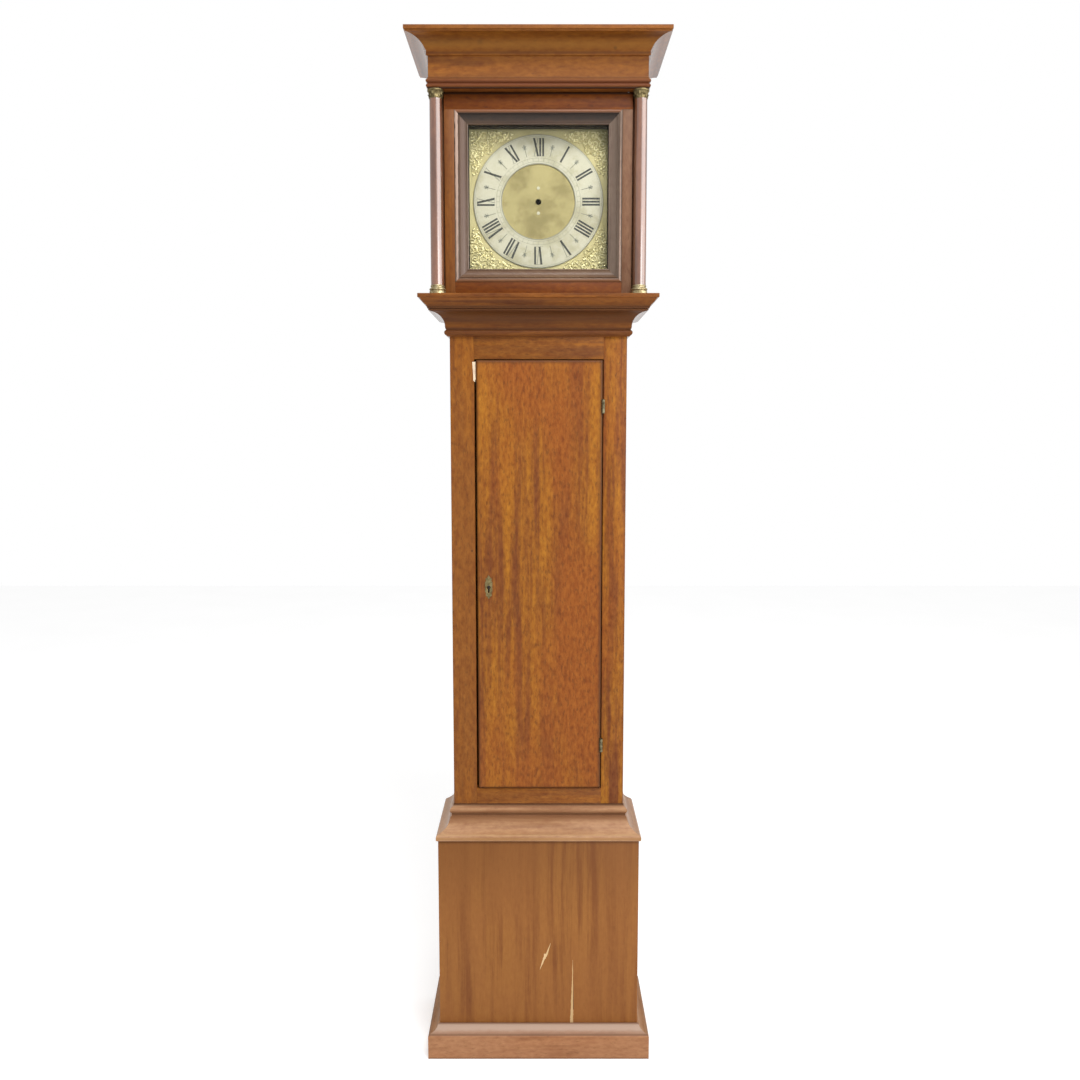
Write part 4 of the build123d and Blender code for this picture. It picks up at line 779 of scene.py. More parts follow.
def metals() -> list[Metal]:
    """The brasses, the steels, the bell's bronze, the ring's silvering and the cast iron.

    Returns:
        The metals.
    """
    return [
        Metal("matted_brass", (0.42, 0.365, 0.165), (0.34, 0.29, 0.13), rough=0.5, metallic=0.7, grit=1600.0,
              grit_depth=0.0002, tarnish_size=24.0,
              rim=((0.0, -19.5, 1678.0), 120.0, 126.0, (0.6, 0.54, 0.28))),
        # The castings' low parts are darkened: painted shade in the hollows between scrolls and leaves.
        Metal("spandrel_brass", (0.92, 0.86, 0.51), (0.73, 0.67, 0.36), rough=0.38, metallic=0.8,
              tarnish_size=160.0, painted_recess_shade=(-20.6, -19.7, (0.34, 0.29, 0.12))),
        # Painted shade: the arbor darkens towards its front end so that the dial's centre hole comes out
        # dark.
        Metal("sooty_arbor", (0.3, 0.24, 0.12), (0.2, 0.15, 0.08), rough=0.5,
              painted_recess_shade=(-9.0, -14.0, (0.008, 0.006, 0.004))),
        Metal("silvering", (0.66, 0.64, 0.48), (0.56, 0.53, 0.36), rough=0.5, metallic=0.35,
              tarnish_size=28.0),
        # Darker brass for the capitals: a shaded copy of the bases' brass, painted shade for their downward
        # faces; the escutcheon shares its dull tone.
        Metal("chased_brass", (0.21, 0.165, 0.075), (0.1, 0.075, 0.03), rough=0.45, metallic=0.8,
              tarnish_size=140.0),
        # Lighter brass for the column bases: a lit copy, painted light for their upward faces.
        Metal("column_brass", (0.42, 0.36, 0.21), (0.22, 0.165, 0.075), rough=0.4, metallic=0.8,
              tarnish_size=140.0),
        Metal("clock_brass", (0.7, 0.55, 0.27), (0.45, 0.33, 0.14), tarnish_size=90.0),
        Metal("bell_bronze", (0.6, 0.5, 0.3), (0.36, 0.27, 0.14), tarnish_size=50.0),
        Metal("filed_steel", (0.4, 0.39, 0.38), (0.2, 0.16, 0.13), rough=0.35, tarnish_size=120.0),
        Metal("forged_steel", (0.17, 0.15, 0.09), (0.07, 0.055, 0.03), rough=0.5, tarnish_size=200.0),
        Metal("cast_weight", (0.07, 0.07, 0.075), (0.035, 0.033, 0.03), rough=0.6, metallic=0.6, grit=400.0,
              grit_depth=0.0006),
    ]


class Finishes:
    """Every material on the clock, each made once and found by name."""

    def __init__(self) -> None:
        """Makes every finish from the tables above."""
        effects = SharedEffects()
        listed: list[Finish] = [
            *trunk_timbers(), *hood_timbers(), *hood_door_timbers(), *plinth_timbers(), *metals(),
            Hemp("hemp", (0.2, 0.13, 0.07), (0.5, 0.4, 0.25)),
            OldGlass("old_glass"),
            Wax("numeral_wax", (0.055, 0.057, 0.048), (0.2, 0.2, 0.16)),
            Wax("faint_wax", (0.24, 0.25, 0.2), (0.42, 0.42, 0.33)),
        ]
        self.made = {finish.name: finish.material(effects) for finish in listed}

    def __getitem__(self, name: str) -> bpy.types.Material:
        """The material of a finish."""
        return self.made[name]


class Piece:
    """One finished mesh: drawn in millimetres, placed in metres, one material slot per finish."""

    def __init__(self, name: str, *finishes: bpy.types.Material) -> None:
        """Starts an empty mesh.

        Args:
            name: the piece's name.
            *finishes: its materials, in the order of their slots.
        """
        self.name = name
        self.finishes = finishes
        self.mesh = bmesh.new()

    def point(self, place: Sequence[float]) -> bmesh.types.BMVert:
        """Adds a point given in millimetres."""
        return self.mesh.verts.new(metres(place))

    def face(self, points: Sequence[bmesh.types.BMVert], slot: int = 0) -> bmesh.types.BMFace:
        """Adds a face.

        Args:
            points: its corners in order.
            slot: its material slot.

        Returns:
            The face.
        """
        made = self.mesh.faces.new(points)
        made.material_index = slot
        return made

    def board(self, box: Extent, slot: int = 0, ease: float = 0.6, steps: int = 2) -> None:
        """Adds a board with eased edges.

        Args:
            box: where the board is.
            slot: its material slot.
            ease: how far its edges are rounded.
            steps: faces across each rounded edge.
        """
        xs, ys, zs = (box.x0, box.x1), (box.y0, box.y1), (box.z0, box.z1)
        corners = [self.point((xs[i & 1], ys[i >> 1 & 1], zs[i >> 2])) for i in range(8)]
        sides = ((0, 2, 3, 1), (4, 5, 7, 6), (0, 1, 5, 4), (2, 6, 7, 3), (0, 4, 6, 2), (1, 3, 7, 5))
        faces = [self.face([corners[i] for i in side], slot) for side in sides]
        if ease:
            edges = list({e for f in faces for e in f.edges})
            bmesh.ops.bevel(self.mesh, geom=edges, offset=ease * MM, segments=steps, affect="EDGES",
                            profile=0.5, material=slot)

    def loft(self, rings: Sequence[Sequence[Sequence[float]]], slot: int = 0, closed: bool = False,
             capped: bool = True) -> None:
        """Joins rings of points into a skin.

        Args:
            rings: rings with the same number of points, in order.
            slot: the material slot.
            closed: whether the last ring meets the first.
            capped: whether the open ends are filled.
        """
        made = [[self.point(p) for p in ring] for ring in rings]
        count = len(made[0])
        pairs = zip(made, made[1:] + made[:1]) if closed else zip(made, made[1:])
        for a, b in pairs:
            for i in range(count):
                j = (i + 1) % count
                self.face((a[i], a[j], b[j], b[i]), slot)
        if capped and not closed:
            self.face(list(reversed(made[0])), slot)
            self.face(made[-1], slot)

    def prism(self, outline: Sequence[Pair], place: Placing, low: float, high: float, slot: int = 0) -> None:
        """Pushes an outline of (u, v) from one depth to another; place turns (u, v, depth) into a point."""
        self.loft([[place(u, v, w) for u, v in outline] for w in (low, high)], slot)

    def turned(self, outline: Sequence[Pair], centre: Point, slot: int = 0, steps: int = 48) -> None:
        """Turns an outline of (radius, height) about an upright axis; an end at radius 0 closes to a pole.

        Args:
            outline: the outline from one end to the other.
            centre: where the axis' zero is.
            slot: the material slot.
            steps: faces round the axis.
        """
        rows: list[list[bmesh.types.BMVert]] = []
        for radius, height in outline:
            around = 1 if radius < 1e-6 else steps
            row = []
            for i in range(around):
                turn = 2 * math.pi * i / steps
                flat = Vector((radius * math.cos(turn), radius * math.sin(turn), height))
                row.append(self.point(flat + Vector(centre)))
            rows.append(row)
        for a, b in zip(rows, rows[1:]):
            for i in range(steps):
                j = (i + 1) % steps
                ring = [a[i % len(a)], a[j % len(a)], b[j % len(b)], b[i % len(b)]]
                kept = [p for k, p in enumerate(ring) if p not in ring[:k]]
                if len(kept) > 2:
                    self.face(kept, slot)
        for row in (rows[0], rows[-1]):
            if len(row) > 1:
                self.face(row, slot)

    def tube(self, path: Sequence[Sequence[float]], radius: float | Sequence[float], side: Sequence[float],
             slot: int = 0, sides: int = 10) -> None:
        """Adds a round bar along points.

        Args:
            path: the points of its middle line.
            radius: its radius, or one radius for each point.
            side: a direction that the path never runs along.
            slot: the material slot.
            sides: faces round it.
        """
        rings = []
        for k, here in enumerate(path):
            before, after = Vector(path[max(k - 1, 0)]), Vector(path[min(k + 1, len(path) - 1)])
            along = (after - before).normalized()
            across = along.cross(Vector(side)).normalized()
            up = across.cross(along)
            size = radius if isinstance(radius, (int, float)) else radius[k]
            rings.append([Vector(here) + (across * math.cos(t) + up * math.sin(t)) * size
                          for t in (2 * math.pi * i / sides for i in range(sides))])
        self.loft(rings, slot)

    def place(self, body: str | None, *replaced: str, slot: str | None = None,
              sharp: float = 32.0) -> bpy.types.Object:
        """Turns the piece into an object that rides on a body.

        Args:
            body: the frame body that it rides on, or None to leave it on no body.
            *replaced: the CAD nodes that it stands for.
            slot: not used.
            sharp: edges that turn by more degrees than this stay crisp.

        Returns:
            The finished object.
        """
        bmesh.ops.recalc_face_normals(self.mesh, faces=self.mesh.faces)
        limit = math.radians(sharp)
        for face in self.mesh.faces:
            face.smooth = True
        for edge in self.mesh.edges:
            edge.smooth = len(edge.link_faces) == 2 and edge.calc_face_angle(0.0) < limit
        made = bpy.data.meshes.new(self.name)
        self.mesh.to_mesh(made)
        self.mesh.free()
        for finish in self.finishes:
            made.materials.append(finish)
        shown = bpy.data.objects.new(self.name, made)
        bpy.context.collection.objects.link(shown)
        if body:
            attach(shown, body)
        if replaced:
            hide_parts(*replaced)
        LOG.info("%s: %d faces on %s", self.name, len(made.polygons), body)
        return shown


def bow(start: Pair, end: Pair, bulge: float, steps: int = 10) -> list[Pair]:
    """Points of an arc between two points; a positive bulge swells out, a negative one hollows in.

    Args:
        start: first point.
        end: last point.
        bulge: the arc's rise as a share of its chord.
        steps: runs between the points.

    Returns:
        The points, ends included.
    """
    half = math.dist(start, end) / 2
    rise = -bulge * half
    radius = (half ** 2 + rise ** 2) / (2 * rise)
    across, up = -(end[1] - start[1]) / (2 * half), (end[0] - start[0]) / (2 * half)
    centre_out = (start[0] + end[0]) / 2 - across * (radius - rise)
    centre_up = (start[1] + end[1]) / 2 - up * (radius - rise)
    first = math.atan2(start[1] - centre_up, start[0] - centre_out)
    turn = math.atan2(end[1] - centre_up, end[0] - centre_out) - first
    turn = (turn + math.pi) % math.tau - math.pi
    angles = [first + turn * k / steps for k in range(steps + 1)]
    return [(centre_out + abs(radius) * math.cos(a), centre_up + abs(radius) * math.sin(a)) for a in angles]


def eased(profile: Sequence[Pair], ease: float = 0.5, turn: float = 35.0) -> list[Pair]:
    """A closed profile whose sharp corners are rounded a little, as wear leaves them.

    Args:
        profile: the corners in order.
        ease: how far along each side a rounding may reach.
        turn: corners that turn by fewer degrees stay as they are.

    Returns:
        The eased profile.
    """
    out: list[Pair] = []
    count = len(profile)
    for i, here in enumerate(profile):
        before, after = Vector(profile[i - 1]), Vector(profile[(i + 1) % count])
        spot = Vector(here)
        a, b = before - spot, after - spot
        if a.length < 1e-6 or b.length < 1e-6 or math.degrees(math.pi - a.angle(b)) < turn:
            out.append(here)
            continue
        reach = min(ease, a.length * 0.4, b.length * 0.4)
        p, q = spot + a.normalized() * reach, spot + b.normalized() * reach
        for t in (0.0, 0.33, 0.67, 1.0):
            bend = p * (1 - t) ** 2 + spot * 2 * t * (1 - t) + q * t * t
            out.append((bend.x, bend.y))
    return out


@dataclass(frozen=True)
class MouldingRun:
    """A moulding along the front with two mitred returns to the back.

    Attributes:
        profile: its closed section as (out, height), out being measured from the face it runs round.
        half_width: half of the width between the two side faces.
        front: the front face's place.
        back: where the returns end.
        mitre: the hair's breadth that shows at each mitre.
    """

    profile: tuple[Pair, ...]
    half_width: float
    front: float
    back: float
    mitre: float = 0.12

    def build(self, piece: Piece, across: int = 0, returns: int = 1) -> None:
        """Adds the three runs to a piece.

        Args:
            piece: the piece that takes them.
            across: the front run's material slot.
            returns: the slot of the returns.
        """
        ends = []
        for side in (-1, 1):
            ends.append([(side * (self.half_width + out - self.mitre), self.front - out, z)
                         for out, z in self.profile])
        piece.loft(ends, across)
        for side in (-1, 1):
            corner = [(side * (self.half_width + out), self.front - out + self.mitre, z)
                      for out, z in self.profile]
            piece.loft([corner, [(x, self.back, z) for x, _, z in corner]], returns)

    def finished(self, name: str, across: bpy.types.Material, returns: bpy.types.Material, body: str,
                 node: str, slot: str) -> None:
        """Builds the moulding as a piece of its own.

        Args:
            name: the piece's name.
            across: the front run's finish.
            returns: the finish of the returns.
            body: the frame body that it rides on.
            node: the CAD node that it stands for.
            slot: not used, only passed on to place.
        """
        piece = Piece(name, across, returns)
        self.build(piece)
        piece.place(body, node, slot=slot)


@dataclass
class Trunk:
    """The tall middle of the case: sides, front frame, and the boards behind them."""

    finishes: Finishes
    half_width: float = 168.0
    front: float = -49.5
    back: float = 120.5
    opening: tuple[float, float, float, float] = (-122.0, 124.0, 540.0, 1382.0)
    bolt_pocket: float = 11.0

    def lock_stile(self, piece: Piece, box: Extent, slot: int, ease: float = 0.8) -> None:
        """Adds the stile beside the lock, with the pocket in its back edge that the bolt slides into.

        Args:
            piece: the piece that takes it.
            box: where the stile is.
            slot: its material slot.
            ease: how far its front edges are rounded.
        """
        bolt = Extent.of("lock_bolt")
        low, high, deep = bolt.z0 - 1, bolt.z1 + 1, bolt.y0 - 0.5
        rings = []
        for y, inset, cut in ((box.y0, ease, 0.0), (box.y0 + ease, 0.0, 0.0), (deep - 0.5, 0.0, 0.0),
                              (deep, 0.0, self.bolt_pocket), (box.y1, 0.0, self.bolt_pocket)):
            x0, x1, z0, z1 = box.x0 + inset, box.x1 - inset, box.z0 + inset, box.z1 - inset
            step = 0.0 if cut else 1.0
            ring = [(x0, z0), (x1, z0), (x1, low), (x1 - cut, low + step), (x1 - cut, high - step),
                    (x1, high), (x1, z1), (x0, z1)]
            rings.append([(x, y, z) for x, z in ring])
        piece.loft(rings, slot)

    def build(self) -> None:
        """Builds the front frame from its four boards and dresses the rest."""
        whole = Extent.of("trunk_front_frame")
        left, right, low, high = self.opening
        wood = self.finishes
        frame_boards = Piece("trunk_front_boards", wood["oak_upright"], wood["oak_left_stile"],
                             wood["oak_across"])
        y0, y1 = whole.y0, whole.y1
        self.lock_stile(frame_boards, Extent(whole.x0, y0, whole.z0, left, y1, whole.z1), 1)
        frame_boards.board(Extent(right, y0, whole.z0, whole.x1, y1, whole.z1), slot=0, ease=0.8)
        frame_boards.board(Extent(left, y0, whole.z0, right, y1, low), slot=2, ease=0.5)
        frame_boards.board(Extent(left, y0, high, right, y1, whole.z1), slot=2, ease=0.5)
        frame_boards.place("case", "trunk_front_frame", slot="oak")
        wear(wood["oak_upright"], "trunk_sides")
        wear(wood["pine_inside"], "backboard", "plinth_inner_boards", "seatboard")


@dataclass
class Plinth:
    """The foot of the case, its skirting, and the capping that steps in to the trunk."""

    finishes: Finishes
    half_width: float = 198.0
    front: float = -79.5
    back: float = 120.5

    def skirting(self) -> MouldingRun:
        """The skirting: a plain face, a hollow and a flat top."""
        profile = [(0, 0), (22, 0), (22, 47), (19, 50), *bow((17, 51), (4, 61), -0.3), (4, 64), (0, 64)]
        return MouldingRun(tuple(eased(profile, 1.0)), self.half_width, self.front, self.back)

    def capping(self, trunk: Trunk) -> MouldingRun:
        """The capping: a rounded nose, a long hollow and a bead against the trunk.

        Args:
            trunk: the trunk that it runs round.

        Returns:
            The moulding.
        """
        profile = [(0, 444), (33, 444), (34, 446), (34, 452), (32, 455),
                   *bow((30, 456), (7, 484), -0.3, 14), (5, 485), (4.6, 490),
                   *bow((5, 491), (5, 502), 0.6, 10), (3, 503), (1.6, 504.5), (1.2, 509), (0, 509)]
        return MouldingRun(tuple(eased(profile, 0.6)), trunk.half_width, trunk.front, self.back)

    def build(self, trunk: Trunk) -> None:
        """Builds the mouldings and the front board, and dresses the sides.

        Args:
            trunk: the trunk that stands on it.
        """
        wood = self.finishes
        self.skirting().finished("skirting_runs", wood["skirt_across"], wood["skirt_return"], "case",
                                 "base_skirting", "oak")
        self.capping(trunk).finished("plinth_capping", wood["cap_across"], wood["cap_return"], "case",
                                     "plinth_cap_moulding", "oak")
        panel = Piece("plinth_front_board", wood["plinth_pine"])
        panel.board(Extent.of("plinth_front_panel"), slot=0, ease=0.7)
        panel.place("case", "plinth_front_panel", slot="pine")
        wear(wood["plinth_side"], "plinth_sides")


def wear(finish: bpy.types.Material, *nodes: str) -> None:
    """Gives carried-over CAD nodes a finish.

    Args:
        finish: the material.
        *nodes: the frame nodes that take it.
    """
    for node in nodes:
        shown = bpy.data.objects[node]
        if not shown.material_slots:
            shown.data.materials.append(finish)
        for slot in shown.material_slots:
            slot.material = finish
        LOG.info("%s: %s", node, finish.name)


@dataclass
class TrunkDoor:
    """The long door with its edge rounded over, its hinges, lock and escutcheon."""

    finishes: Finishes
    strip: tuple[float, float] = (6.0, 38.0)

    def build(self) -> None:
        """Dresses the door and its fittings."""
        wear(self.finishes["oak_door"], "trunk_door_panel")
        wide, tall = self.strip
        bare = Piece("bare_strip", self.finishes["bare_wood"])
        top, right = 1377.0, -119.6
        rim = [(right - wide, top), (right - wide + 1.2, top - tall * 0.5),
               (right - wide + 1.8, top - tall + 3), (right - 1.4, top - tall), (right, top - tall + 5),
               (right, top)]
        bare.prism(rim, lambda u, v, w: (u, w, v), -49.9, -44.0)
        bare.place("case", slot="oak")
        wear(self.finishes["forged_steel"], *(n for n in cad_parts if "hinge" in n and "hood" not in n))
        wear(self.finishes["filed_steel"], "lock_bolt", "door_lock_case")
        wear(self.finishes["chased_brass"], "escutcheon")


@dataclass
class Hood:
    """The cover over the movement: mouldings, columns, sides and the mask round the dial, darkened with
    painted shade.
    """

    finishes: Finishes
    half_width: float = 168.0
    front: float = -49.5
    back: float = 120.5
    eaves: float = 1864.0
    column: Point = (187.7, -71.5, 1498.0)
    shaft_radius: float = 12.0

    def throat(self) -> MouldingRun:
        """The moulding under the hood: a bead and a deep hollow.

        Returns:
            The moulding.
        """
        profile = [(0, 1424), (4, 1424), *bow((6, 1426), (6, 1436), 0.7, 8), (7, 1438),
                   *bow((8, 1441), (33, 1468), -0.42, 16), (34, 1469), (36, 1469), (36, 1472), (0, 1472)]
        return MouldingRun(tuple(eased(profile, 0.5)), self.half_width, self.front, self.back)

    def sill(self) -> MouldingRun:
        """The moulding that the hood stands on.

        Returns:
            The moulding.
        """
        low = 1472.4
        profile = [(2, low), (38, low), (38, low + 3), (39.5, low + 4),
                   *bow((40, low + 6), (50, 1490), 0.12, 8), (54, 1491), (54, 1498), (2, 1498)]
        return MouldingRun(tuple(eased(profile, 0.7)), self.half_width, self.front, self.back)

    def cornice(self) -> MouldingRun:
        """Two beads, a plain frieze, a fillet and a big hollow up to the top edge.

        Returns:
            The moulding.
        """
        e = self.eaves
        profile = [(30.5, e), (33, e), (34, e + 1), *bow((34, e + 2), (34, e + 7), 0.7, 6), (33, e + 8),
                   (33, e + 9), *bow((34, e + 10), (34, e + 16), 0.7, 6), (33, e + 17), (33, e + 19),
                   (32, e + 20), (32, e + 56), (35, e + 57), (35, e + 65),
                   *bow((36, e + 66), (66, 1950), -0.3, 16), (69, 1950), (69, 1952.5), (71, 1953),
                   (71, 1960), (30.5, 1960)]
        return MouldingRun(tuple(eased(profile, 0.4)), self.half_width, self.front, self.back)

    @staticmethod
    def leaves(piece: Piece, foot: Point, count: int = 8) -> None:
        """Adds two rows of curled leaves round a capital.

        Args:
            piece: the piece that takes them.
            foot: the middle of the capital's foot.
            count: leaves in each row.
        """
        for row, (low, high) in enumerate(((3.0, 8.4), (7.0, 12.8))):
            for k in range(count):
                turn = math.tau * (k + row / 2) / count
                rings = []
                for t in (0.0, 0.35, 0.7, 0.9, 1.0):
                    half = math.sin(math.pi * (0.25 + 0.62 * t)) * 3.0
                    out = 11.2 + low * 0.14 + (2.4 - 0.5 * row) * t * t
                    z = foot[2] + low + (high - low) * (t if t < 0.95 else 0.84)
                    ring = []
                    for across, deep in ((-half, 0.0), (0.0, 0.9), (half, 0.0), (0.0, -1.2)):
                        angle = turn + across / out
                        away = min(out + deep, 14.9)
                        ring.append((foot[0] + away * math.cos(angle), foot[1] + away * math.sin(angle), z))
                    rings.append(ring)
                piece.loft(rings)

    def build_columns(self) -> None:
        """Turns the two columns and their brass bases and capitals."""
        x, y, z = self.column
        r = self.shaft_radius
        shafts = Piece("turned_columns", self.finishes["column_wood"])
        brasses = Piece("column_mounts", self.finishes["chased_brass"], self.finishes["column_brass"])
        low, high = z + 18, self.eaves - 16
        swell = [(r - 0.9 * t * t, low + (high - low) * t) for t in (k / 12 for k in range(13))]
        swell[-2:] = [(r - 0.9, high - 3), (r - 0.5, high)]
        base = [(0, 0), (14.6, 0), (15, 0.5), (15, 6.4), (14.5, 7), (13.6, 7.4),
                *bow((13.6, 8), (13.2, 12.5), 0.8, 6), (12.4, 13.2), (12.2, 14.5),
                *bow((12.2, 15), (12.2, 17.4), 0.7, 4), (12, 18), (0, 18)]
        top = [(0, 0), (11.4, 0), *bow((11.5, 0.4), (11.5, 2.4), 0.8, 5), (11.2, 3.0),
               *bow((11.2, 3.4), (13.6, 12.6), -0.16, 6), (13.9, 13.0), (14.8, 13.4), (15, 15.6),
               (14.6, 16), (0, 16)]
        for side in (-1, 1):
            shafts.turned([(0, low), *swell, (0, high)], (side * x, y, 0))
            # Bases take the lighter brass and capitals the darker: painted light and painted shade.
            brasses.turned([(a, z + h) for a, h in base], (side * x, y, 0), slot=1)
            brasses.turned([(a, self.eaves - 16 + h) for a, h in top], (side * x, y, 0))
            self.leaves(brasses, (side * x, y, self.eaves - 16))
        shafts.place("hood", "hood_columns", slot="hood_wood")
        brasses.place("hood", "column_brasses", slot="cabinet_brass")

    def build(self) -> None:
        """Builds the hood."""
        wood = self.finishes
        self.throat().finished("throat_runs", wood["throat_across"], wood["throat_return"], "case",
                               "throat_moulding", "oak")
        self.sill().finished("hood_sill_runs", wood["hood_across"], wood["hood_return"], "hood",
                             "hood_base_moulding", "hood_wood")
        self.cornice().finished("cornice_runs", wood["cornice_across"], wood["cornice_return"], "hood",
                                "cornice", "hood_wood")
        self.build_columns()
        wear(wood["hood_upright"], "hood_sides")
        wear(wood["hood_across"], "hood_top_boards")
        # The mask takes the wood with painted shade.
        wear(wood["mask_dark"], "dial_mask")


@dataclass
class HoodDoor:
    """The glazed door in front of the dial."""

    finishes: Finishes
    half_width: float = 173.5
    front: float = -64.5
    back: float = -44.5
    sight: float = 130.0
    moulding: float = 25.0
    bead: float = 8.0
    rebate: float = 5.0
    centre: float = 1678.0

    def strip(self) -> list[Pair]:
        """Draws the sight moulding's section: a hollow and a bead in front of the glass's rebate.

        Returns:
            The section as (distance from the dial's middle, depth).
        """
        s, m, f = self.sight, self.moulding, self.front
        glass = f + 11
        quirk = s + m - self.bead
        return [(s + m, f), *bow((s + m, f - 0.2), (quirk + 1, f - 0.2), -0.37, 10), (quirk + 0.6, f + 1.6),
                (quirk - 0.4, f + 1.6), *bow((quirk - 0.8, f + 0.6), (s + 3.4, f + 7), 0.25, 8),
                (s + 3, f + 7.8), (s + 1.6, f + 7.2), (s, f + 8), (s, glass), (s + self.rebate, glass),
                (s + self.rebate, self.back), (s + m, self.back)]

    def build_moulding(self) -> None:
        """Builds the four mitred strips."""
        strips = Piece("sight_moulding", self.finishes["door_moulding_across"],
                       self.finishes["door_moulding"])
        section = self.strip()
        gap = 0.1
        for quarter in range(4):
            spin = Matrix.Rotation(math.pi / 2 * quarter, 3, "Y")
            rings = []
            for end in (-1, 1):
                ring = [spin @ Vector((end * (out - gap), depth, out)) + Vector((0, 0, self.centre))
                        for out, depth in section]
                rings.append(ring)
            strips.loft(rings, quarter % 2)
        strips.place("hood_door", "hood_door_moulding", slot="hood_wood", sharp=40)

    def build(self) -> None:
        """Builds the door's boards and strips, and dresses the glass and pins."""
        wood = self.finishes
        stiles, rails = Extent.of("hood_door_stiles"), Extent.of("hood_door_rails")
        inner = self.sight + self.moulding
        boards = Piece("hood_door_boards", wood["door_stile_left"], wood["door_stile_right"],
                       wood["door_rail"])
        head = self.centre + inner
        for slot, (x0, x1) in enumerate(((-self.half_width, -inner), (inner, self.half_width))):
            boards.board(Extent(x0, self.front, stiles.z0, x1, self.back, head), slot, ease=0.6)
        for half, z0, z1 in ((inner, rails.z0, self.centre - inner), (self.half_width, head, rails.z1)):
            boards.board(Extent(-half, self.front, z0, half, self.back, z1), slot=2, ease=0.6)
        boards.place("hood_door", "hood_door_stiles", "hood_door_rails", slot="hood_wood")
        self.build_moulding()
        wear(wood["old_glass"], "hood_door_glass")
        wear(wood["filed_steel"], "hood_door_pivots")


class Letter(Enum):
    """The strokes of the three Roman letters: (foot, top, thickness) across a numeral's own width."""

    I = ((0.0, 0.0, 3.5),)
    V = ((4.3, 0.6, 3.9), (4.9, 8.8, 1.2))
    X = ((8.2, 0.8, 3.9), (0.8, 8.2, 1.2))

    @property
    def width(self) -> float:
        """How far apart the next letter starts."""
        return {"I": 0.0, "V": 9.4, "X": 9.0}[self.name]


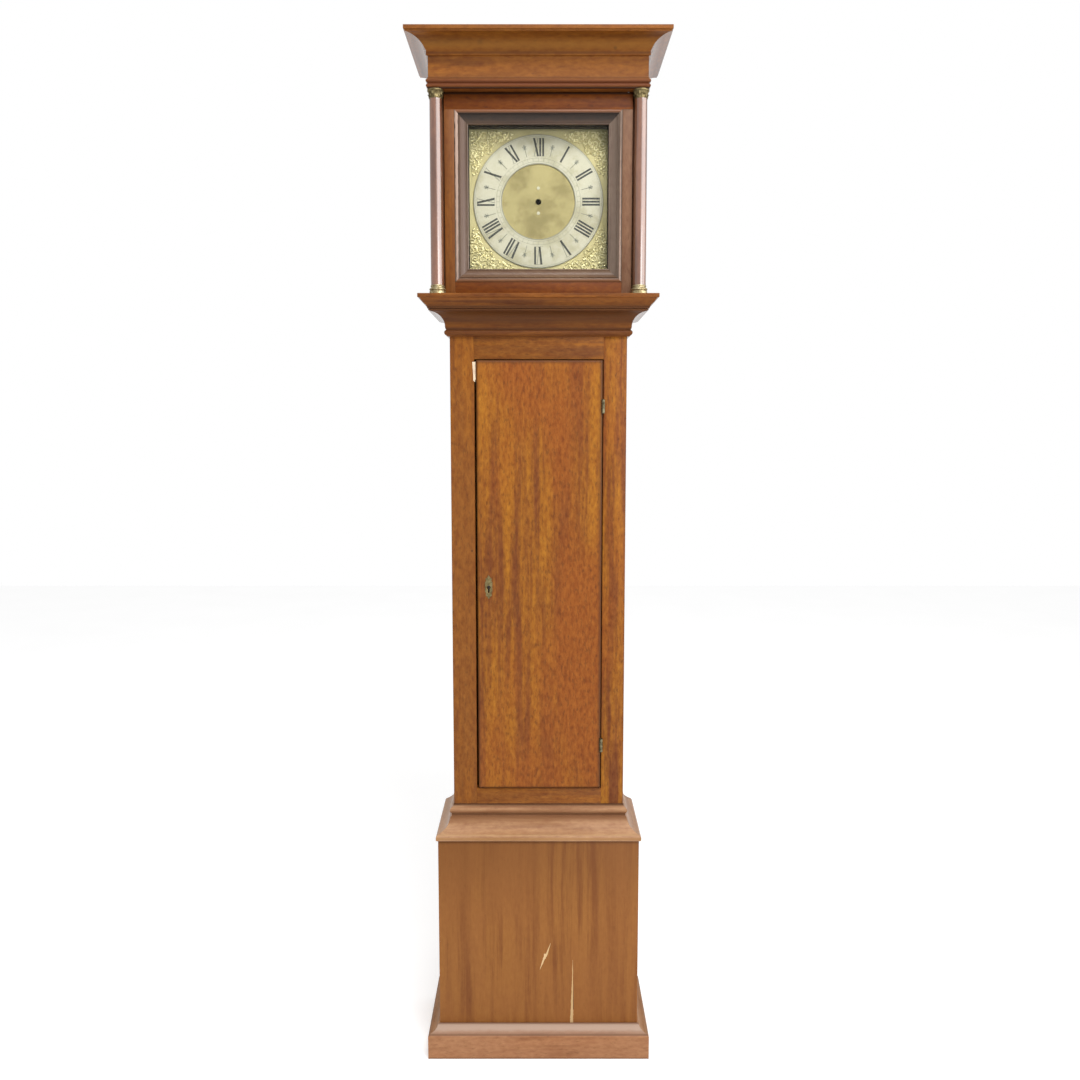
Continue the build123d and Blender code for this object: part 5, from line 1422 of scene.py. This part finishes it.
@dataclass
class Dial:
    """The brass dial plate, its silvered chapter ring and the cast corner pieces."""

    finishes: Finishes
    centre: float = 1678.0
    front: float = -19.5
    ring_face: float = -21.5
    ring_outer: float = 123.0
    ring_inner: float = 69.0
    numeral_foot: float = 83.0
    numeral_top: float = 116.0
    numeral_gap: float = 3.3
    numeral_step: float = 5.6
    engraving: float = 0.06
    sunk: float = 0.02
    ring_steps: int = 144
    leaf_count: int = 170
    corner: tuple[float, float] = (126.0, 130.0)
    seed: int = 7

    def polar(self, turn: float, across: float, out: float, depth: float) -> Point:
        """A place out along the direction that lies clockwise from twelve, and across it, in millimetres."""
        c, s = math.cos(turn), math.sin(turn)
        return (out * s + across * c, depth, self.centre + out * c - across * s)

    def stroke(self, ink: Piece, turn: float, foot: Pair, top: Pair, width: float, slot: int = 0) -> None:
        """Adds one engraved stroke.

        Args:
            ink: the piece that takes it.
            turn: the direction of its hour, in radians.
            foot: its inner end as (across, out).
            top: its outer end.
            width: how wide it is.
            slot: the black or the faint wax.
        """
        low, high = self.ring_face - self.engraving, self.ring_face + self.sunk
        h = width / 2
        ring = [(foot[0] - h, foot[1]), (foot[0] + h, foot[1]), (top[0] + h, top[1]), (top[0] - h, top[1])]
        ink.prism(ring, lambda u, v, w: self.polar(turn, u, v, w), high, low, slot)

    def numeral(self, ink: Piece, hour: int, text: str) -> None:
        """Engraves one hour's numeral, its feet towards the centre.

        Args:
            ink: the piece that takes it.
            hour: which of the twelve it is.
            text: its letters.
        """
        turn = math.tau * hour / 12
        places, cursor = [], 0.0
        for k, mark in enumerate(text):
            letter = Letter[mark]
            if k:
                cursor += self.numeral_step if mark == text[k - 1] == "I" else self.numeral_gap
            places.append((letter, cursor))
            cursor += letter.width
        middle = cursor / 2
        foot, top = self.numeral_foot, self.numeral_top
        for letter, start in places:
            for a, b, thick in letter.value:
                self.stroke(ink, turn, (start + a - middle, foot), (start + b - middle, top), thick,
                            int(thick < 2))
        reach = middle + 1.8
        for out in (foot, top):
            self.stroke(ink, turn, (0, out - 0.25), (0, out + 0.25), 2 * reach, slot=1)

    def half_hour(self, ink: Piece, index: int) -> None:
        """Engraves the small cross with leaves that stands between two hours.

        Args:
            ink: the piece that takes it.
            index: the hour before it.
        """
        turn = math.tau * (index + 0.5) / 12
        foot, top = self.numeral_foot + 1, self.numeral_top - 7
        middle = (foot + top) / 2 + 3
        self.stroke(ink, turn, (0, foot), (0, middle - 1), width=1.1, slot=1)
        for lean in (-0.62, 0.0, 0.62):
            tip = (math.sin(lean * 1.25) * 5.0, middle + math.cos(lean * 1.25) * 7.0)
            bulge = (tip[0] * 0.6, (tip[1] + middle) / 2)
            near, far = (1.3, 1.5) if lean else (2.2, 2.4)
            self.stroke(ink, turn, (0, middle - 1), bulge, near, slot=1)
            self.stroke(ink, turn, bulge, tip, far, slot=1)
        self.stroke(ink, turn, (0, middle - 1.2), (0, middle - 0.4), width=8.0, slot=1)

    def circles(self, ink: Piece) -> None:
        """Engraves the ring's fine circles.

        Args:
            ink: the piece that takes them.
        """
        low, high = self.ring_face - self.engraving, self.ring_face + self.sunk
        for radius, width in ((121.6, 0.9), (119.3, 0.35), (79.6, 0.45), (73.2, 0.45), (69.5, 1.1)):
            section = ((radius, high), (radius + width, high), (radius + width, low), (radius, low))
            ink.loft(self.spun(section), 1, closed=True)

    def spun(self, section: Sequence[Pair]) -> list[list[Point]]:
        """Rings of a section of (out, depth), repeated all the way round the dial's centre."""
        turns = (math.tau * k / self.ring_steps for k in range(self.ring_steps))
        return [[self.polar(turn, 0, out, depth) for out, depth in section] for turn in turns]

    def build_ring(self) -> None:
        """Builds the chapter ring and its engraving."""
        plate = Piece("silvered_ring", self.finishes["silvering"])
        section = [(self.ring_inner, self.front), (self.ring_inner, self.ring_face + 0.4),
                   (self.ring_inner + 0.4, self.ring_face), (self.ring_outer - 0.4, self.ring_face),
                   (self.ring_outer, self.ring_face + 0.4), (self.ring_outer, self.front)]
        plate.loft(self.spun(section), closed=True)
        plate.place("case", "chapter_ring", slot="silvered_brass")
        ink = Piece("ring_engraving", self.finishes["numeral_wax"], self.finishes["faint_wax"])
        hours = ("XII", "I", "II", "III", "IIII", "V", "VI", "VII", "VIII", "IX", "X", "XI")
        for hour, text in enumerate(hours):
            self.numeral(ink, hour, text)
            self.half_hour(ink, hour)
        self.circles(ink)
        ink.place("case", slot="silvered_brass", sharp=20)
        track = quarter_marks(self, self.finishes["faint_wax"])
        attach(track, "case")

    def scroll(self, piece: Piece, centre: Pair, start: float, size: float, turns: float, mirror: int,
               flip: Mirroring, width: float = 1.25) -> None:
        """Adds one raised scroll that winds in to a round eye.

        Args:
            piece: the piece that takes it.
            centre: its eye's place.
            start: the direction of its outer end, in radians.
            size: how far out that end is.
            turns: how many times it winds.
            mirror: 1 to wind one way and -1 the other.
            flip: brings a place into the casting's corner.
            width: its thickness.
        """
        path, sizes = [], []
        steps = 22
        for k in range(steps + 1):
            t = k / steps
            angle = start + mirror * turns * math.tau * t
            out = size * (1 - 0.78 * t)
            u, v = flip(centre[0] + out * math.cos(angle), centre[1] + out * math.sin(angle))
            path.append((u, self.front - 0.9, self.centre + v))
            sizes.append(width * (0.55 + 0.45 * math.sin(math.pi * min(1.0, t * 1.1))))
        sizes[-1] = width * 1.1
        piece.tube(path, sizes, (0, 1, 0), slot=0, sides=6)

    def leaf(self, piece: Piece, root: Pair, angle: float, length: float, width: float,
             flip: Mirroring) -> None:
        """Adds one raised leaf with a ridge down its middle.

        Args:
            piece: the piece that takes it.
            root: where it starts.
            angle: which way it points, in radians.
            length: how long it is.
            width: half of its greatest width.
            flip: brings a place into the casting's corner.
        """
        c, s = math.cos(angle), math.sin(angle)
        edge_up, ridge_up = 0.7, 2.0
        outline = [(0.0, 0.12), (0.22, 0.7), (0.4, 0.55), (0.55, 1.0), (0.78, 0.5), (1.0, 0.0)]
        left = [(root[0] + t * length * c - w * width * s, root[1] + t * length * s + w * width * c)
                for t, w in outline]
        right = [(root[0] + t * length * c + w * width * s, root[1] + t * length * s - w * width * c)
                 for t, w in outline[:-1]]
        rim = [flip(*p) for p in left + right[::-1]]
        low = [piece.point((u, self.front, self.centre + v)) for u, v in rim]
        high = [piece.point((u, self.front - edge_up, self.centre + v)) for u, v in rim]
        u, v = flip(root[0] + 0.5 * length * c, root[1] + 0.5 * length * s)
        ridge = piece.point((u, self.front - ridge_up, self.centre + v))
        count = len(rim)
        for k in range(count):
            j = (k + 1) % count
            piece.face((low[k], low[j], high[j], high[k]))
            piece.face((high[k], high[j], ridge))
        piece.face(low[::-1])

    def build_spandrels(self) -> None:
        """Casts the four corner pieces: a pierced field of scrolls and leaves."""
        cast = Piece("spandrel_castings", self.finishes["spandrel_brass"])
        inner, edge = self.corner
        dice = random.Random(self.seed)
        scrolls = [(118.0, 118.0, 0.4, 8.5, 1.3, 1), (104.0, 120.0, 2.2, 7.5, 1.2, -1),
                   (120.0, 104.0, -0.6, 7.5, 1.2, -1), (88.0, 122.0, 1.2, 6.0, 1.1, 1),
                   (122.0, 88.0, 0.2, 6.0, 1.1, 1), (106.0, 106.0, 3.4, 7.0, 1.2, 1),
                   (74.0, 124.5, 2.4, 4.2, 1.0, -1), (124.5, 74.0, -1.0, 4.2, 1.0, -1),
                   (97.0, 109.0, 0.2, 4.6, 1.0, -1), (109.0, 97.0, 1.6, 4.6, 1.0, 1)]
        leaves = []
        while len(leaves) < self.leaf_count:
            u, v = dice.uniform(52, edge - 2), dice.uniform(52, edge - 2)
            if u < v and math.hypot(u, v) > inner + 1:
                turn = dice.uniform(0, math.tau)
                size = (dice.uniform(4.5, 7.5), dice.uniform(1.3, 2.3))
                leaves += [(u, v, turn, *size), (v, u, math.pi / 2 - turn, *size)]
        for sx, sz in ((1, 1), (-1, 1), (-1, -1), (1, -1)):
            def flip(u: float, v: float, sx: int = sx, sz: int = sz) -> Pair:
                """Mirrors a place of the casting into its corner, kept inside its field.

                Args:
                    u, v: the place in the upper right corner.
                    sx, sz: the corner's two signs.

                Returns:
                    The place in its own corner.
                """
                far = math.hypot(u, v)
                if far < inner:
                    u, v = u * inner / far, v * inner / far
                return sx * min(u, edge), sz * min(v, edge)

            for u, v, start, size, turns, mirror in scrolls:
                self.scroll(cast, (u, v), start, size, turns, mirror, flip)
            for u, v, angle, length, width in leaves:
                self.leaf(cast, (u, v), angle, length, width, flip)
        cast.place("case", "dial_spandrels", slot="dial_brass", sharp=60)

    def build(self) -> None:
        """Builds the dial."""
        wear(self.finishes["matted_brass"], "dial_plate")
        wear(self.finishes["silvering"], "dial_feet_and_rivets")
        self.build_ring()
        self.build_spandrels()


def repeat_tree(name: str, numbers: dict[str, float], count: int, turn_step: float,
                finish: bpy.types.Material, shape: Maker) -> bpy.types.GeometryNodeTree:
    """A Geometry Nodes tree that repeats a small shape on a circle about the dial's axis.

    Args:
        name: the tree's name.
        numbers: its named size inputs and their defaults; the first is the circle's radius.
        count: how many copies.
        turn_step: radians between copies.
        finish: the material that Set Material puts on.
        shape: makes the repeated shape from the tree and its input sockets.

    Returns:
        The tree.
    """
    tree = bpy.data.node_groups.new(name, "GeometryNodeTree")
    for key, value in numbers.items():
        socket = tree.interface.new_socket(name=key, in_out="INPUT", socket_type="NodeSocketFloat")
        socket.default_value = value
    tree.interface.new_socket(name="Geometry", in_out="OUTPUT", socket_type="NodeSocketGeometry")
    net = NodeNet(tree)
    given = {s.name: s for s in net.add("NodeGroupInput").outputs}
    radius = given[next(iter(numbers))]
    line = net.add("GeometryNodeMeshLine", None, Count=count, Offset=(0, 0, 0)).outputs[0]
    turn = net.maths("MULTIPLY", net.add("GeometryNodeInputIndex").outputs[0], turn_step)
    aim = net.add("ShaderNodeCombineXYZ", None, Y=turn).outputs[0]
    stick = net.add("ShaderNodeCombineXYZ", None, Z=radius).outputs[0]
    turned = net.add("ShaderNodeVectorRotate", {"rotation_type": "EULER_XYZ"}, Vector=stick, Rotation=aim)
    moved = net.add("GeometryNodeSetPosition", None, Geometry=line, Offset=turned.outputs[0])
    copies = net.add("GeometryNodeInstanceOnPoints", None, Points=moved.outputs[0],
                     Instance=shape(tree, given), Rotation=aim)
    real = net.add("GeometryNodeRealizeInstances", None, Geometry=copies.outputs[0])
    paint = net.add("GeometryNodeSetMaterial", None, Geometry=real.outputs[0], Material=finish)
    net.add("NodeGroupOutput", None, Geometry=paint.outputs[0])
    return tree


def baked(name: str, tree: bpy.types.GeometryNodeTree, sizes: dict[str, float], place: Point,
          finish: bpy.types.Material) -> bpy.types.Object:
    """Runs a tree with its sizes and leaves a plain mesh at the origin.

    Args:
        name: the piece's name.
        tree: the Geometry Nodes tree.
        sizes: input name to value.
        place: where the tree's origin comes to, in metres.
        finish: the piece's material.

    Returns:
        The plain mesh object.
    """
    seed = bpy.data.objects.new(name + "_seed", bpy.data.meshes.new(name + "_seed"))
    bpy.context.collection.objects.link(seed)
    maker = seed.modifiers.new("maker", "NODES")
    maker.node_group = tree
    for item in tree.interface.items_tree:
        if item.item_type == "SOCKET" and item.in_out == "INPUT" and item.name in sizes:
            maker[item.identifier] = sizes[item.name]
    bpy.context.view_layer.update()
    mesh = bpy.data.meshes.new_from_object(seed.evaluated_get(bpy.context.evaluated_depsgraph_get()))
    seed.modifiers.remove(maker)
    bpy.data.objects.remove(seed)
    mesh.transform(Matrix.Translation(place))
    if not mesh.materials:
        mesh.materials.append(finish)
    shown = bpy.data.objects.new(name, mesh)
    bpy.context.collection.objects.link(shown)
    LOG.info("%s: %d faces from the %s tree", name, len(mesh.polygons), tree.name)
    return shown


def quarter_marks(dial: Dial, ink: bpy.types.Material) -> bpy.types.Object:
    """The quarter-hour ladder inside the numerals, made by Geometry Nodes.

    Args:
        dial: the dial that carries it.
        ink: the wax that fills it.

    Returns:
        The ladder as a plain mesh object.
    """

    def bar(tree: bpy.types.GeometryNodeTree, given: dict) -> Socket:
        """A small flat bar of the tree's three sizes.

        Args:
            tree: the Geometry Nodes tree.
            given: its input sockets by name.

        Returns:
            The bar's geometry socket.
        """
        net = NodeNet(tree)
        size = net.add("ShaderNodeCombineXYZ", None, X=given["Width"], Y=given["Depth"], Z=given["Length"])
        return net.add("GeometryNodeMeshCube", None, Size=size.outputs[0]).outputs[0]

    sizes = {"Radius": 0.0767, "Width": 0.0005, "Depth": 0.0001, "Length": 0.0062}
    marks = 48
    tree = repeat_tree("quarter marks", sizes, marks, math.tau / marks, ink, bar)
    sunk = dial.sunk / 2
    return baked("quarter_marks", tree, sizes, metres((0, dial.ring_face - sunk, dial.centre)), ink)


@dataclass(frozen=True)
class LaidRope:
    """Three strands twisted round a middle line.

    Attributes:
        radius: the whole rope's radius.
        pitch: the length of one full turn of a strand.
    """

    radius: float = 2.5
    pitch: float = 13.0

    def strands(self, piece: Piece, path: Sequence[Point], side: Point = (0, 1, 0),
                per_turn: int = 9) -> None:
        """Adds the strands along a path that lies across a side direction.

        Args:
            piece: the piece that takes them.
            path: the middle line's points.
            side: a direction that the path never runs along.
            per_turn: rings in each turn.
        """
        points = [Vector(p) for p in path]
        lengths = [0.0]
        for a, b in zip(points, points[1:]):
            lengths.append(lengths[-1] + (b - a).length)
        count = max(6, int(lengths[-1] / self.pitch * per_turn))
        thick = self.radius * 0.53
        for strand in range(3):
            middle = []
            for k in range(count + 1):
                far = lengths[-1] * k / count
                run = max(i for i, length in enumerate(lengths[:-1]) if length <= far + 1e-9)
                a, b = points[run], points[run + 1]
                here = a.lerp(b, (far - lengths[run]) / (lengths[run + 1] - lengths[run]))
                along = (b - a).normalized()
                across = along.cross(Vector(side)).normalized()
                up = across.cross(along)
                turn = math.tau * (far / self.pitch + strand / 3)
                middle.append(here + (across * math.cos(turn) + up * math.sin(turn)) * (self.radius - thick))
            piece.tube(middle, thick, side, slot=0, sides=6)


@dataclass
class Drive:
    """The weight, its pulley and stirrup, the small counterweight, and the endless rope that carries them."""

    finishes: Finishes
    rope_y: float = 25.0
    wheel: Pair = (42.0, 1657.4)
    sprocket: float = 18.0
    pulley_z: float = 950.0
    pulley_radius: float = 24.0
    ring_y: float = -18.0
    ring_z: float = 1000.0
    ring_radius: float = 4.0

    def half_turn(self, centre: Point, radius: float, upper: bool, steps: int = 18) -> list[Point]:
        """Points of a half circle in the plane of the clock's front.

        Args:
            centre: its centre.
            radius: its radius.
            upper: whether it is the upper half.
            steps: runs between the points.

        Returns:
            The points, from right to left.
        """
        sign = 1 if upper else -1
        return [(centre[0] + radius * math.cos(math.pi * k / steps), centre[1],
                 centre[2] + sign * radius * math.sin(math.pi * k / steps)) for k in range(steps + 1)]

    def build_ropes(self) -> None:
        """Lays the rope's falls and its bights."""
        rope, hemp = LaidRope(), self.finishes["hemp"]
        x, top = self.wheel
        inner = Piece("laid_inner_falls", hemp)
        outer = Piece("laid_outer_falls", hemp)
        over = Piece("laid_over_sprockets", hemp)
        for side in (-1, 1):
            near, far = side * (x - self.sprocket), side * (x + self.sprocket)
            rope.strands(inner, [(near, self.rope_y, self.pulley_z), (near, self.rope_y, top)])
            ring = (side * self.ring_radius, self.ring_y, self.ring_z)
            rope.strands(outer, [ring, (far, self.rope_y, top)])
            rope.strands(over, self.half_turn((side * x, self.rope_y, top), self.sprocket, True))
        shown = [(inner, "weight", (0, self.rope_y, self.pulley_z), self.rope_y, "rope_inner_falls"),
                 (outer, "counter", (0, self.ring_y, self.ring_z), self.rope_y, "rope_outer_falls")]
        for piece, body, low, y, node in shown:
            made = piece.place(None, node, slot="rope")
            metres((0, y, top))
            metres(low)
            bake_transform(made)
        over.place("case", "rope_over_sprockets", slot="rope")
        under = Piece("laid_under_pulley", hemp)
        rope.strands(under, self.half_turn((0, self.rope_y, self.pulley_z), self.pulley_radius, False))
        under.place("weight", "rope_under_pulley", slot="rope")
        through = Piece("laid_through_ring", hemp)
        rope.strands(through, self.half_turn((0, self.ring_y, self.ring_z), self.ring_radius, False))
        through.place("counter", "rope_through_counterweight", slot="rope")

    def build(self) -> None:
        """Builds the drive."""
        self.build_ropes()
        cast = Piece("cast_driving_weight", self.finishes["cast_weight"])
        box = Extent.of("driving_weight")
        r, low, high = (box.x1 - box.x0) / 2, box.z0, box.z1
        outline = [(0, low), (r - 3, low), *bow((r - 2.6, low), (r, low + 2.6), 0.4, 4), (r, low + 40),
                   (r - 0.5, low + 41), (r, low + 42), (r, high - 9),
                   *bow((r, high - 8.6), (r - 6, high - 2.4), 0.3, 6), (9, high - 0.4), (8, high),
                   (0, high)]
        cast.turned(outline, (0, self.rope_y, 0))
        cast.place("weight", "driving_weight", slot="weight_iron")
        wear(self.finishes["filed_steel"], "weight_stirrup")
        wear(self.finishes["clock_brass"], "weight_pulley")
        wear(self.finishes["cast_weight"], "counterweight")


@dataclass
class Movement:
    """The going and striking trains, their plates, the bell and the pendulum."""

    finishes: Finishes
    brasses: tuple[str, ...] = ("front_plate", "back_plate", "back_cock", "fly")

    def build(self) -> None:
        """Dresses the movement's nodes, every wheel among them."""
        wheels = [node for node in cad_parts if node.endswith("_wheel") and node != "hour_wheel"]
        wear(self.finishes["clock_brass"], *self.brasses, *wheels, "pendulum_bob")
        wear(self.finishes["filed_steel"], "anchor_and_crutch", "pendulum_rod", "bell_stand", "bell_hammer")
        wear(self.finishes["bell_bronze"], "bell")
        # The hour wheel and the studs take the brass with painted shade at the centre hole.
        wear(self.finishes["sooty_arbor"], "hour_wheel", "pillars_and_studs")


@dataclass
class Studio:
    """The pale floor, the white behind, the lamps and the camera.

    Attributes:
        camera_at: the camera's place in metres.
        camera_tilt: how far it looks down, in degrees.
        lens: its focal length in millimetres.
        dome: how bright the surroundings are below and above.
        window: the way to the wide window that polish mirrors.
        mirror: how bright the surroundings and that window are in a mirrored ray.
        floor_reach: half of the floor's side in metres.
        floor_tones: the floor's two greys.
        floor_glow: what the floor adds where it is seen, so that it comes out white.
        film: the frame's width in millimetres.
    """

    camera_at: Point = (0.003, -1.9728, 1.2485)
    camera_tilt: float = 6.28
    lens: float = 33.33
    dome: Pair = (0.12, 0.85)
    window: Point = (0.8, -0.56, 0.2)
    mirror: Pair = (0.8, 4.5)
    floor_reach: float = 6.0
    floor_tones: Pair = (0.93, 0.97)
    floor_glow: float = 0.25
    film: float = 36.0

    def lamp(self, name: str, place: Point, aim: Point, size: float, power: float) -> None:
        """Adds a square soft light.

        Args:
            name: its name.
            place: where it hangs, in metres.
            aim: what it faces.
            size: its side in metres.
            power: its power in watts.
        """
        light = bpy.data.lights.new(name, "AREA")
        light.size = size
        light.energy = power
        shown = bpy.data.objects.new(name, light)
        shown.location = place
        shown.rotation_euler = (Vector(aim) - Vector(place)).to_track_quat("-Z", "Y").to_euler()
        bpy.context.collection.objects.link(shown)

    def seen_white(self, net: NodeNet) -> tuple[Socket, Socket]:
        """Tells the rays that see the background from the rest.

        Args:
            net: the net of the world or the material.

        Returns:
            A socket that is 1 where a ray comes from the camera or through glass, and one for mirrored rays.
        """
        path = net.add("ShaderNodeLightPath")
        plain = net.maths("MAXIMUM", path.outputs["Is Camera Ray"], path.outputs["Is Transmission Ray"])
        return plain, path.outputs["Is Glossy Ray"]

    def world(self) -> None:
        """A dome that is brighter above, white to the camera, and mirrored as a wide window to the right."""
        world = bpy.data.worlds.new("soft dome")
        bpy.context.scene.world = world
        world.use_nodes = True
        net = NodeNet(world.node_tree)
        back = world.node_tree.nodes["Background"]
        seen, mirrored = self.seen_white(net)
        around = net.add("ShaderNodeTexCoord").outputs["Generated"]
        way = net.add("ShaderNodeSeparateXYZ", None, Vector=around)
        above = net.between(way.outputs["Z"], low=-0.3, high=0.9)
        low, high = self.dome
        glow = net.maths("ADD", low, net.maths("MULTIPLY", above, high - low))
        pane = net.between(net.dot(around, self.window), low=0.6, high=0.95)
        plain, bright = self.mirror
        gleam = net.maths("ADD", plain, net.maths("MULTIPLY", pane, bright - plain))
        strength = net.add("ShaderNodeMix", {"data_type": "FLOAT"}, Factor=mirrored, A=glow, B=gleam)
        shown = net.add("ShaderNodeMix", {"data_type": "FLOAT"}, Factor=seen, A=strength.outputs[0], B=1.0)
        net.feed(back.inputs["Strength"], shown.outputs[0])
        back.inputs["Color"].default_value = (1.0, 1.0, 1.0, 1.0)

    def floor(self) -> None:
        """A wide pale floor with a trace of unevenness."""
        mesh = bpy.data.meshes.new("floor")
        r = self.floor_reach
        mesh.from_pydata([(-r, -r, 0), (r, -r, 0), (r, r, 0), (-r, r, 0)], [], [(0, 1, 2, 3)])
        shown = bpy.data.objects.new("floor", mesh)
        bpy.context.collection.objects.link(shown)
        pale = bpy.data.materials.new("pale floor")
        pale.use_nodes = True
        net = NodeNet(pale.node_tree)
        shader = pale.node_tree.nodes["Principled BSDF"]
        place = net.add("ShaderNodeTexCoord").outputs["Object"]
        cloud = net.noise(place, scale=3.0, detail=2.0)
        dull, clear = self.floor_tones
        net.feed(shader.inputs["Base Color"], net.blend(cloud, (dull,) * 3, (clear,) * 3))
        shader.inputs["Roughness"].default_value = 0.9
        shader.inputs["Specular IOR Level"].default_value = 0.0
        shader.inputs["Emission Strength"].default_value = 1.0
        seen = net.maths("MAXIMUM", *self.seen_white(net))
        net.feed(shader.inputs["Emission Color"], net.blend(seen, (0.0,) * 3, (self.floor_glow,) * 3))
        mesh.materials.append(pale)

    def build(self) -> None:
        """Sets the whole studio up."""
        scene = bpy.context.scene
        scene.view_settings.view_transform = "Standard"
        self.world()
        self.floor()
        self.lamp("overhead", (0.4, -1.7, 3.5), (0.0, 0.0, 1.1), size=1.2, power=60.0)
        self.lamp("front right", (1.8, -3.2, 1.5), (0.0, 0.0, 0.9), size=1.6, power=30.0)
        camera = bpy.data.cameras.new("camera")
        camera.lens = self.lens
        camera.sensor_width = self.film
        shown = bpy.data.objects.new("camera", camera)
        shown.location = self.camera_at
        shown.rotation_euler = (math.radians(90.0 - self.camera_tilt), 0.0, 0.0)
        bpy.context.collection.objects.link(shown)
        scene.camera = shown


def main() -> None:
    """Builds the clock piece by piece."""
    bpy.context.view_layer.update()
    Studio().build()
    finishes = Finishes()
    trunk = Trunk(finishes)
    for part in (trunk, TrunkDoor(finishes), Hood(finishes), HoodDoor(finishes), Dial(finishes),
                 Movement(finishes), Drive(finishes)):
        part.build()
        LOG.info("%s is done", type(part).__name__)
    Plinth(finishes).build(trunk)


if __name__ == "__main__":
    main()
